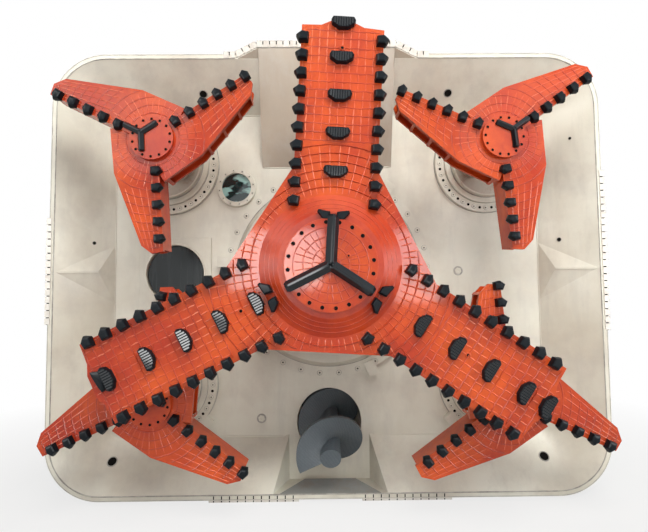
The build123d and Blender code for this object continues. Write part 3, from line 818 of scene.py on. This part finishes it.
hub_bolts, hub_sockets = Mould(), Mould()
for bolts in (
    (0.337, 20, 0.019, 0.004, 6.0, 0.88),
    (0.337, 3, 0.009, 0.003, 33.0, 0.80),
    (0.155, 1, 0.020, 0.010, 27.0, 0.40),
):
    bolt_circle(hub_bolts, hub_sockets, MAIN_CENTRE, DISC_FACE, bolts)
for spoke in SPOKES:
    drain = spoke.arm.flat([(spoke.drain, 0.0)])[0]
    round_bolt(hub_bolts, hub_sockets, drain, 0.024, MAIN_FACE, 0.011, 0.55)
hub_bolts.piece("hub_bolts", "cutter_paint", "main_head", smooth=True)
hub_sockets.piece("hub_bolt_sockets", "hole_dark", "main_head")


# Corner heads
CornerHead = namedtuple("CornerHead", "name shaft ring first_arm hand")
CORNER_HEADS = tuple(
    CornerHead(name, (side * HEAD_X, MAIN_Z + level * HEAD_DZ),
               (side * RING_X, MAIN_Z + level * RING_DZ), first_arm, hand)
    for name, side, level, first_arm, hand in (
        ("upper_left", -1, 1, 153.4, 1),
        ("upper_right", 1, 1, 35.9, -1),
        ("lower_left", -1, -1, 83.1, 1),
        ("lower_right", 1, -1, 336.0, -1),
    )
)
CORNER_BLEND = 0.280  # where the trailing edge starts to taper
CORNER_OUTLINE = ((CORNER_TIP - 0.015, CORNER_LEAD), (CORNER_TIP, -0.058),
                  (CORNER_TIP - 0.075, -0.145), (CORNER_BLEND, -CORNER_TRAIL),
                  (-0.120, -CORNER_TRAIL - 0.016), (-0.120, CORNER_LEAD))
CORNER_CLEAR, RAY_END = 0.196, 0.427
CORNER_BEAD, CORNER_RAY = (0.013, 0.0042), (0.010, 0.0040)
CORNER_BOLTS = (0.1655, 14, 0.014, 0.003)


def trail_edge(r):
    """Trailing edge of a corner arm at r."""
    t = (r - CORNER_BLEND) / (CORNER_TIP - 0.075 - CORNER_BLEND)
    return -CORNER_TRAIL + t * (CORNER_TRAIL - 0.145)


for head in CORNER_HEADS:
    name = head.name
    body = "head_" + name
    arms = [Arm(head.shaft, head.first_arm + turn, CORNER_FACE) for turn in THIRDS]
    outline = [(r, n * head.hand) for r, n in scaled(CORNER_OUTLINE, 0.985, (0.3, -0.12))]
    on_plate = face_test(head.shaft, CORNER_CLEAR, [arm.flat(outline) for arm in arms])

    beads, rays = Mould(), Mould()
    for k in range(11):
        path = arc(head.shaft, 0.235 + 0.072 * k, CORNER_FACE, wander=0.001)
        clipped_beads(beads, path, on_plate, CORNER_BEAD)
    for k in range(40):
        ray = Arm(head.shaft, k * 9 + rng.uniform(-1, 1), CORNER_FACE)
        path = line_on(ray, (CORNER_CLEAR, 0), (RAY_END, 0), wander=0.001)
        clipped_beads(rays, path, on_plate, CORNER_RAY)
    for arm in arms:
        for share in (0.16, 0.34, 0.52, 0.70, 0.87):
            path = []
            for i in range(22):
                r = 0.42 + 0.57 * i / 21
                n = CORNER_LEAD + share * (trail_edge(r) - CORNER_LEAD)
                path.append(arm.at(r, n * head.hand))
            clipped_beads(rays, path, on_plate, CORNER_RAY)
    # Rings in the darker bead paint: painted shade.
    beads.piece("weld_beads_" + name, "bead_paint", body, smooth=True, slot="cutter_paint")
    # Long beads in the paler bead paint with pale smears: painted glints.
    rays.piece("long_beads_" + name, "bead_worn", body, smooth=True, slot="cutter_paint")

    teeth = Mould()
    for turn, first, step, count in CORNER_TEETH:
        arm = Arm(head.shaft, head.first_arm + turn * head.hand, CORNER_FACE)
        for k in range(count):
            r = first + k * step
            hook = 0.045 if r > CORNER_TRAIL + 0.123 else 0.0
            edge_tooth(teeth, arm, r, head.hand * CORNER_TOOTH_N, 0.052, 0.062, hook, CORNER_LEAD)
    teeth.piece("cutters_" + name, "cutter_black", body, 0.003,
                replaces=("corner_teeth_" + name,))

    star = Mould()
    heart = arms[0].flat([(0.098, 0.0)])[0]
    for turn in THIRDS:
        arm = Arm(heart, head.first_arm + turn, CORNER_DISC_FACE + SINK)
        ridge_arm(star, arm, -0.016, 0.166, 0.054, 0.042)
    star.piece("small_cutter_" + name, "star_coat", body, 0.002,
               replaces=("corner_teeth_" + name,), slot="cutter_black")

    disc_bolts, sockets = Mould(), Mould()
    bolt_circle(disc_bolts, sockets, head.shaft, CORNER_DISC_FACE,
                (*CORNER_BOLTS, head.first_arm + 13, 0.86))
    disc_bolts.piece("disc_bolts_" + name, "cutter_paint", body, smooth=True)
    sockets.piece("disc_sockets_" + name, "hole_dark", body)


# Shield fittings
FLANGE_FACE, LIP_FACE, DRUM_FACE = -0.045, -0.080, -0.150
TOP_SLOPE, LOW_SLOPE = (0.0, -0.759, -0.651), (0.0, -0.759, 0.651)
LEFT_SLOPE, RIGHT_SLOPE = (0.651, -0.759, 0.0), (-0.651, -0.759, 0.0)
FRONT = (0.0, -1.0, 0.0)
PORT, PORT_FACE = (-0.950, 3.075), -0.040
WALL_HOLES = (
    # place, facing, radius
    ((-1.274, -0.150, 4.028), TOP_SLOPE, 0.042),
    ((1.264, -0.150, 4.028), TOP_SLOPE, 0.042),
    ((-2.148, -0.160, 0.3205), LOW_SLOPE, 0.048),
    ((2.134, -0.160, 0.3205), LOW_SLOPE, 0.048),
    ((-2.3736, -0.1378, 2.490), LEFT_SLOPE, 0.018),
    ((2.3753, -0.1393, 2.490), RIGHT_SLOPE, 0.022),
    ((2.4794, -0.2285, 3.517), RIGHT_SLOPE, 0.015),
)
HOLE_RIM = ((1.12, -0.001), (1.05, 0.004), (0.90, 0.004), (0.88, 0.001))
HOLE_FLOOR = ((0.90, 0.0), (0.88, 0.0025))
PLUG_RIM = ((1.0, -0.001), (0.96, 0.004), (0.80, 0.004), (0.78, 0.001))
PLUG_HEAD = ((1.0, 0.0), (0.94, 0.007), (0.30, 0.008), (0.24, 0.002))


def plug(mould, place, facing, radius, levels, sides=18):
    """Round fitting on a wall: levels are (share of radius, height)."""
    facing, across, along = axes_of(facing)
    mould.layers([circle(Vector(place) + facing * out, radius * share, sides, across, along)
                  for share, out in levels])


fixed_bolts, dark_holes, seams = Mould(), Mould(), Mould()
bolt_circle(fixed_bolts, dark_holes, MAIN_CENTRE, FLANGE_FACE,
            (1.033, 33, 0.024, 0.006, 3.0, 0.36), seams)
# Dark lines in the main ring's groove and round its outer edge: painted shade.
shade_ring(seams, MAIN_CENTRE, 0.961, 0.006, FLANGE_FACE, 0.003, sides=120)
shade_ring(seams, MAIN_CENTRE, 1.075, 0.006, 0.0, 0.004, sides=120)
drum_faces = Mould()
for head in CORNER_HEADS:
    bolt_circle(fixed_bolts, dark_holes, head.ring, FLANGE_FACE,
                (0.475, 24, 0.021, 0.005, 0.0, 0.30), seams)
    bolt_circle(fixed_bolts, dark_holes, head.ring, FLANGE_FACE,
                (0.475, 24, 0.016, 0.002, 7.5, 0.92))
    # Dark lines at the lip, flange and outer edge of each ring: painted shade of the steps.
    shade_ring(seams, head.ring, 0.366, 0.010, LIP_FACE, 0.004, 0.002)
    shade_ring(seams, head.ring, 0.424, 0.006, FLANGE_FACE, 0.003)
    shade_ring(seams, head.ring, 0.518, 0.009, 0.0, 0.005)
    # Darker sheet on each drum face: rust and dirt, and painted shade behind the head.
    rings = [circle((middle[0], DRUM_FACE - out, middle[1]), radius, 72)
             for radius, middle, out in ((0.352, head.ring, -0.0005), (0.352, head.ring, 0.0025),
                                         (0.196, head.shaft, 0.0025), (0.196, head.shaft, -0.0005))]
    drum_faces.layers(rings + rings[:1], cap=False)
drum_faces.piece("drum_faces", "drum_steel", "shield", slot="shaft_steel")
bolt_circle(fixed_bolts, dark_holes, PORT, PORT_FACE, (0.178, 12, 0.011, 0.006, 10.0, 0.5), seams)
# Wall holes get a grey rim and a near-black floor, plugs a grey ring: painted shade of the hole and
# its edge.
for place, facing, radius in WALL_HOLES:
    plug(seams, place, facing, radius, HOLE_RIM)
    plug(dark_holes, place, facing, radius, HOLE_FLOOR)
for x, z in ((-0.694, 0.683), (1.367, 2.184)):
    plug(seams, (x, 0.0, z), FRONT, 0.050, PLUG_RIM)
    plug(fixed_bolts, (x, 0.0, z), FRONT, 0.036, PLUG_HEAD, 6)
fixed_bolts.piece("ring_bolts", "shield_paint", "shield", smooth=True)
dark_holes.piece("wall_holes", "hole_dark", "shield")


def shell_path(inset, y):
    """Closed path round the front edge of the shield, raised top included."""
    half, low, high = SHELL_W / 2 - inset, 0.02 + inset, SHELL_TOP - inset
    radius = 0.52 - inset
    foot, crown = RAISE_FOOT + inset * 0.3, RAISE_CROWN + inset * 0.3
    corners = []
    for cx, cz, start in ((half - radius, low + radius, -90), (half - radius, high - radius, 0)):
        for i in range(13):
            a = math.radians(start + 7.5 * i)
            corners.append((cx + radius * math.cos(a), cz + radius * math.sin(a)))
    corners += [(foot, high), (crown, high + RAISE)]
    corners += [(-x, z) for x, z in reversed(corners)]
    corners.append(corners[0])
    path = []
    for (x0, z0), (x1, z1) in zip(corners, corners[1:]):
        count = max(1, round(math.hypot(x1 - x0, z1 - z0) / 0.05))
        for i in range(count):
            t = i / count
            path.append(Vector((x0 + (x1 - x0) * t, y, z0 + (z1 - z0) * t)))
    path.append(path[0])
    return path


# Grey lines along the rim's inner and outer edge: seams, and painted shade of the gap between rim
# and slopes.
weld_bead(seams, shell_path(0.046, SHELL_FRONT), (0.012, 0.006))
weld_bead(seams, shell_path(0.006, SHELL_FRONT), (0.006, 0.003))
seams.piece("seams", "seam_paint", "shield", smooth=True, slot="shield_paint")

# Corner seams of the chamber, doubler edge and sill
BULK_X, BULK_LOW, BULK_HIGH = 2.213, 0.507, 3.853
TROUGH_HALF, RAMP_HALF, RAMP_LOW = 0.44, 0.68, 3.290
DOOR, DOUBLER_HALF = (-1.588, 2.177), 0.370
WALL_BEAD, DOUBLER_BEAD = (0.014, 0.006), (0.012, 0.010)
chamber_beads = Mould()


def wall_seam(start, end, bead=WALL_BEAD):
    """Bead between two (x, z) places on the bulkhead."""
    start, end = Vector((start[0], -0.002, start[1])), Vector((end[0], -0.002, end[1]))
    count = max(2, int((end - start).length / 0.06))
    weld_bead(chamber_beads, [start.lerp(end, i / count) for i in range(count + 1)], bead)


for side in (-1, 1):
    wall_seam((side * BULK_X, BULK_LOW), (side * BULK_X, BULK_HIGH))
    wall_seam((side * TROUGH_HALF, BULK_LOW), (side * BULK_X, BULK_LOW))
    wall_seam((side * RAMP_HALF, BULK_HIGH), (side * BULK_X, BULK_HIGH))
wall_seam((-RAMP_HALF, RAMP_LOW), (RAMP_HALF, RAMP_LOW))
doubler = [(DOOR[0] + a * DOUBLER_HALF, DOOR[1] + b * DOUBLER_HALF)
           for a, b in ((-1, -1), (1, -1), (1, 1), (-1, 1), (-1, -1))]
for start, end in zip(doubler, doubler[1:]):
    wall_seam(start, end, DOUBLER_BEAD)
hoop(chamber_beads, DOOR, [(0.297, -0.013), (0.300, -0.022), (0.314, -0.022), (0.318, -0.013)])
hoop(chamber_beads, PORT, [(0.152, -0.039), (0.154, -0.046), (0.162, -0.046), (0.164, -0.039)])
hoop(chamber_beads, PORT, [(0.198, 0.0), (0.198, -0.008), (0.206, -0.001), (0.206, 0.0)])
for side in (-1, 1):
    outer = Vector((side * 2.620, -0.3525, 2.187))
    inner = Vector((side * 2.323, -0.150, 2.197))
    lift = Vector((-side * 0.555, -0.832, 0.0))
    tall = UP * 0.011
    ridge = [outer - tall, outer + tall, inner + tall, inner - tall]
    chamber_beads.layers([[p + lift * out for p in ridge] for out in (-0.012, 0.004)])
chamber_beads.piece("chamber_seams", "shield_paint", "shield", smooth=True)

sill_edges = [Vector(p) for p in ((-0.480, -0.371, 0.071), (0.480, -0.371, 0.071),
                                  (0.248, -0.190, 0.1405), (-0.248, -0.190, 0.1405))]
sill_up = (sill_edges[1] - sill_edges[0]).cross(sill_edges[3] - sill_edges[0]).normalized()
sill = Mould()
sill.layers([[p + sill_up * out for p in sill_edges] for out in (-SINK, 0.003)])
sill.piece("sill_plate", "sill_steel", "shield", slot="wear_steel")

# Wear blocks in rows round the rim
WEAR_T, WEAR_END, WEAR_PITCH, WEAR_GAP = 0.026, -0.225, 0.068, 0.009
TOP_LIP, TOP_SLIT = 0.042, (-0.012, 0.022)
SIDE_LIP, SIDE_SLIT = 0.024, (-0.016, 0.004)
TOP_RIM = [(1.025, SHELL_TOP), (RAISE_FOOT, SHELL_TOP), (RAISE_CROWN, SHELL_TOP + RAISE)]
TOP_RIM += [(-x, z) for x, z in reversed(TOP_RIM)]
side_blocks, top_blocks, block_slots, skid_slots = Mould(), Mould(), Mould(), Mould()


def wear_row(mould, start, end, lip, slit):
    """Blocks along a straight stretch of the rim, with the outside on the left of start to end.

    lip is how far a block reaches inward over the front of the rim, slit the part of a gap with a
    near-black sheet of painted shade.
    """
    base = Vector((start[0], 0, start[1]))
    run = Vector((end[0], 0, end[1])) - base
    along = run.normalized()
    out = Vector((-along.z, 0, along.x))
    count = max(1, round(run.length / WEAR_PITCH))
    size = run.length / count

    def box(target, low, high, inner, outer, y_low, y_high):
        target.layers([[base + along * a + out * b + Vector((0, y, 0))
                        for a, b in oblong(low, high, inner, outer)] for y in (y_low, y_high)])

    # Near-black strip behind the row: painted shade in the gaps between blocks.
    box(block_slots, 0.0, run.length, 0.0, WEAR_T * 0.55, SHELL_FRONT + 0.004, WEAR_END - 0.004)
    for k in range(count):
        low, high = k * size + WEAR_GAP / 2, (k + 1) * size - WEAR_GAP / 2
        box(mould, low, high, 0.0, WEAR_T - 0.0005, SHELL_FRONT, WEAR_END)
        box(mould, low, high, -lip, WEAR_T - 0.0005, SHELL_FRONT - 0.008, SHELL_FRONT + 0.001)
        if k:
            box(block_slots, k * size - WEAR_GAP / 2, low, *slit,
                SHELL_FRONT - 0.004, SHELL_FRONT + 0.004)


for end, start in zip(TOP_RIM, TOP_RIM[1:]):
    wear_row(top_blocks, start, end, TOP_LIP, TOP_SLIT)
wear_row(side_blocks, (-2.700, 1.680), (-2.700, 2.713), SIDE_LIP, SIDE_SLIT)
wear_row(side_blocks, (2.700, 3.151), (2.700, 1.581), SIDE_LIP, SIDE_SLIT)
top_blocks.piece("top_wear_row", "wear_steel", "shield", 0.002, replaces=("top_wear_blocks",))
side_blocks.piece("side_wear_rows", "wear_steel", "shield", 0.002, replaces=("side_wear_blocks",))
block_slots.piece("wear_row_slots", "hole_dark", "shield")
# Near-black slots on the front of the skids: painted shade.
for x, high in ((-1.108, -0.320), (0.324, 1.120)):
    while x < high:
        for bottom, top in ((0.003, 0.017), (0.026, 0.058)):
            skid_slots.layers([[Vector((a, y, b)) for a, b in oblong(x, x + 0.010, bottom, top)]
                               for y in (SHELL_FRONT - 0.0012, SHELL_FRONT + 0.004)])
        x += 0.075
skid_slots.piece("skid_slots", "hole_dark", "shield")

# Behind the bulkhead
BACK = (0.0, 1.0, 0.0)
SCREW_TILT = math.radians(18)
SCREW_AXIS = Vector((0.0, math.cos(SCREW_TILT), math.sin(SCREW_TILT)))
SCREW_BACK = Vector((0.0, 0.0, 0.640)) + SCREW_AXIS * 2.2455
RIB_PITCH, RIB_W, RIB_OUT, COWL = 0.042, 0.012, 0.014, 0.10


def band(mould, origin, axis, profile, sides=48):
    """Turned ring round any axis from a closed (radius, distance along it) section."""
    axis, across, along = axes_of(axis)
    mould.layers([circle(Vector(origin) + axis * reach, radius, sides, across, along)
                  for radius, reach in profile + profile[:1]], cap=False)


def hex_bolts(origin, ring, count, radius, start=0.0, facing=BACK):
    """Hexagon heads on washers in a circle on a face."""
    _, across, along = axes_of(facing)
    for place in circle(origin, ring, count, across, along, start):
        plug(rear_bolts, place, facing, radius * 1.35, ((1.0, -SINK), (1.0, radius * 0.18)), 14)
        plug(rear_bolts, place, facing, radius,
             ((1.0, 0.0), (1.0, radius * 0.75), (0.86, radius * 0.90)), 6)


def motor_trim(x, z, radius, start, end, box_y):
    """Cooling ribs, end cowl and terminal box of a motor."""
    origin, foot = (x, 0.0, z), radius - SINK
    reach = start
    while reach < end - COWL - 0.02:
        band(rear_ribs, origin, BACK, [(foot, reach), (radius + RIB_OUT, reach),
                                       (radius + RIB_OUT, reach + RIB_W), (foot, reach + RIB_W)])
        reach += RIB_PITCH
    band(rear_ribs, origin, BACK, [(foot, end - COWL), (radius + 0.016, end - 0.09),
                                   (radius + 0.016, end - 0.004), (foot, end - 0.002)])
    rear_ribs.layers([[Vector((x + a, box_y + b, z + radius + height))
                       for a, b in oblong(-half, half, -half - 0.02, half + 0.02)]
                      for height, half in ((-0.02, 0.070), (0.050, 0.070), (0.062, 0.058))])


rear_bolts, rear_ribs, rear_beads = Mould(), Mould(), Mould()
hex_bolts((0.0, 0.580, MAIN_Z), 0.830, 36, 0.022)
hex_bolts((0.0, 0.690, MAIN_Z), 0.245, 12, 0.018)
band(rear_beads, (0.0, 0.060, MAIN_Z), BACK, [(0.878, 0.0), (0.904, 0.0), (0.878, 0.026)], 96)
for angle in (30.0, 90.0, 150.0, 210.0, 330.0):
    x, z = Arm(MAIN_CENTRE, angle).flat([(0.620, 0.0)])[0]
    hex_bolts((x, 0.710, z), 0.170, 8, 0.013, 22.5)
    motor_trim(x, z, 0.150, 0.760, 1.200, 0.960)
for head in CORNER_HEADS:
    x, z = head.ring
    hex_bolts((x, 0.440, z), 0.390, 20, 0.018)
    hex_bolts((x, 0.760, z), 0.220, 12, 0.013)
    hex_bolts((x, 1.310, z), 0.130, 6, 0.012)
    motor_trim(x, z, 0.175, 0.820, 1.310, 1.000)
    band(rear_beads, (x, 0.060, z), BACK, [(0.428, 0.0), (0.450, 0.0), (0.428, 0.022)], 80)
    band(rear_beads, (x, 0.440, z), BACK, [(0.258, 0.0), (0.276, 0.0), (0.258, 0.018)], 64)
hex_bolts(SCREW_BACK, 0.385, 20, 0.018, facing=SCREW_AXIS)
rear_bolts.piece("rear_bolts", "shaft_steel", "shield", smooth=True)
rear_ribs.piece("motor_ribs", "motor_steel", "shield", 0.002)
rear_beads.piece("housing_seams", "drive_paint", "shield", smooth=True)

WHEEL_Y, WHEEL_ROD = 0.157, 0.008
door_wheel = Mould()
for radius, tube, y in ((0.115, 0.012, 0.160), (0.030, 0.022, 0.150)):
    turns = [k * math.pi / 4 for k in range(8)]
    section = [(radius + tube * math.cos(a), y + tube * math.sin(a)) for a in turns]
    hoop(door_wheel, DOOR, section, 40)
plug(door_wheel, (DOOR[0], 0.091, DOOR[1]), BACK, 0.030,
     ((1.5, 0.0), (1.5, 0.012), (0.9, 0.014), (0.9, 0.075)))
for angle in (90.0, 210.0, 330.0):
    rod = Arm(DOOR, angle, WHEEL_Y)
    turns = [k * math.pi / 3 for k in range(6)]
    door_wheel.layers([[rod.at(r, WHEEL_ROD * math.cos(a), -WHEEL_ROD * math.sin(a)) for a in turns]
                       for r in (0.020, 0.112)])
door_wheel.piece("door_wheel", "wear_steel", "door", smooth=True)

# Outside of the shell: girth seams and grease ports
GREASE_PORT = ((1.0, -0.001), (1.0, 0.006), (0.86, 0.008), (0.40, 0.008), (0.36, 0.002))
GREASE_R = 0.034
shell_beads, shell_ports = Mould(), Mould()
for y in (0.700, 1.500):
    path = shell_path(0.0, y)[:-1]
    rings = [[], [], []]
    for i, p in enumerate(path):
        ahead = path[(i + 1) % len(path)] - path[i - 1]
        out = Vector((ahead.z, 0, -ahead.x)).normalized()
        for ring, lift, shift in zip(rings, (-SINK, 0.0045, -SINK), (-0.010, 0.0, 0.010)):
            ring.append(p + out * (lift * (1 + rng.uniform(-0.2, 0.2))) + Vector((0, shift, 0)))
    shell_beads.layers(rings, cap=False)
shell_beads.piece("shell_seams", "shield_paint", "shield", smooth=True)
for y in (0.350, 1.150):
    ports = [(x, SHELL_TOP, UP) for x in (-1.9, -1.3, 1.3, 1.9)] + [(0.0, SHELL_TOP + RAISE, UP)]
    ports += [(side * SHELL_W / 2, z, RIGHT * side)
              for z in (0.9, 1.75, 2.6, 3.45) for side in (-1, 1)]
    for x, z, facing in ports:
        plug(shell_ports, (x, y, z), facing, GREASE_R, GREASE_PORT)
shell_ports.piece("grease_ports", "shaft_steel", "shield", smooth=True)

# Room, light and camera
floor_mesh = bpy.data.meshes.new("studio_floor")
FLOOR = 60.0
floor_corners = [(x, y, 0.0) for x, y in oblong(-FLOOR, FLOOR, -FLOOR, FLOOR)]
floor_mesh.from_pydata(floor_corners, [], [(0, 1, 2, 3)])
stand("studio_floor", floor_mesh)
floor_material = bpy.data.materials.new("pale_floor")
floor_material.use_nodes = True
f = Nodes(floor_material.node_tree)
spot = f.node("ShaderNodeTexCoord", out=3)
spread = f.node("ShaderNodeVectorMath", dict(operation="LENGTH"), {0: spot}, out=1)
far = f.node("ShaderNodeMapRange", None, {"Value": spread, "From Min": 3.2, "From Max": 6.5})
matte = f.node("ShaderNodeBsdfDiffuse", None, {"Color": (0.50, 0.49, 0.47)})
f.node("ShaderNodeOutputMaterial", None, {0: f.white_behind(matte, 0.76 + 0.24 * far)}, out=None)
floor_mesh.materials.append(floor_material)

world = bpy.data.worlds.new("studio")
bpy.context.scene.world = world
world.use_nodes = True
f = Nodes(world.node_tree)
soft_light = f.node("ShaderNodeBackground", None, {"Color": (0.97, 0.98, 1.0), "Strength": 0.19})
f.node("ShaderNodeOutputWorld", None, {0: f.white_behind(soft_light, 1.0)}, out=None)


WHITE = (1.0, 1.0, 1.0)


def soft_lamp(name, place, aim, size, power, colour, mirrored):
    """Area lamp that either lights the surfaces or, where mirrored, only shows in their gloss."""
    light = bpy.data.lights.new(name, "AREA")
    light.shape = "RECTANGLE"
    light.size, light.size_y = size
    light.energy = power
    light.color = colour
    lamp = stand(name, light)
    lamp.location = place
    lamp.rotation_euler = (Vector(aim) - Vector(place)).to_track_quat("-Z", "Y").to_euler()
    lamp.visible_camera = False
    lamp.visible_diffuse = not mirrored
    lamp.visible_glossy = mirrored


LAMPS = (
    # name, place, aim, size, watts, colour
    ("roof_light", (1.4, -5.8, 8.6), (0, 0, 2.0), (6, 4), 800, (1.0, 0.99, 0.96)),
    ("front_fill", (0.5, -11.0, 3.5), (0, 0, 2.0), (6, 4), 270, (1.0, 0.98, 0.95)),
    ("side_fill_left", (-8.0, -6.0, 3.8), (0, 0, 2.0), (2, 4.5), 190, WHITE),
    ("side_fill_right", (8.0, -6.5, 3.2), (0, 0, 1.8), (2, 4.5), 310, (0.90, 0.96, 1.0)),
    ("rear_fill", (3.0, 11.0, 6.5), (0, 1.0, 2.0), (7, 4), 620, (1.0, 0.99, 0.97)),
)
PANES = (
    # name, place, aim, size, watts
    ("window_left", (-8.0, -6.0, 3.0), (0, 0, 2.2), (3.2, 2.6), 240),
    ("window_right", (8.0, -6.5, 3.0), (0, 0, 2.2), (3.6, 3.4), 380),
    ("pane_left", (-1.4, -12.0, 3.0), (-0.5, -1.2, 2.2), (2.8, 1.75), 225),
    ("pane_right", (2.9, -12.0, 2.8), (0.9, -1.2, 2.0), (1.4, 2.2), 100),
    ("pane_high", (-5.1, -6.5, 7.5), (-0.9, -1.2, 1.7), (2.1, 1.4), 90),
    ("pane_side", (-6.8, -6.3, 6.3), (-1.4, -1.2, 1.5), (2.1, 1.4), 90),
    ("pane_upper_left", (-4.4, -6.6, 5.4), (-1.8, -0.9, 3.4), (3.2, 1.7), 40),
    ("pane_upper_right", (4.2, -6.6, 5.5), (1.8, -0.9, 3.4), (2.6, 1.7), 18),
)
for lamp in LAMPS:
    soft_lamp(*lamp, mirrored=False)
for pane in PANES:
    soft_lamp(*pane, WHITE, mirrored=True)

eye = bpy.data.cameras.new("photo_camera")
camera = stand("photo_camera", eye)
bpy.context.scene.camera = camera
FOCAL_PX, IMAGE_W, SENSOR_W = 486.7, 648.0, 36.0
CAMERA_PLACE = (-0.0947, -5.0879, 1.9498)
YAW, PITCH, ROLL = -0.010863, 0.058113, 0.008897
eye.sensor_width = SENSOR_W
eye.lens = FOCAL_PX / IMAGE_W * SENSOR_W
axes = (Matrix.Rotation(YAW, 3, "Z") @ Matrix.Rotation(PITCH, 3, "X")
        @ Matrix.Rotation(ROLL, 3, "Y"))
look = Matrix((axes.col[0], axes.col[2], -axes.col[1])).transposed().to_4x4()
camera.matrix_world = Matrix.Translation(CAMERA_PLACE) @ look
eye.clip_start, eye.clip_end = 0.05, 200.0

bpy.context.scene.view_settings.view_transform = "Standard"
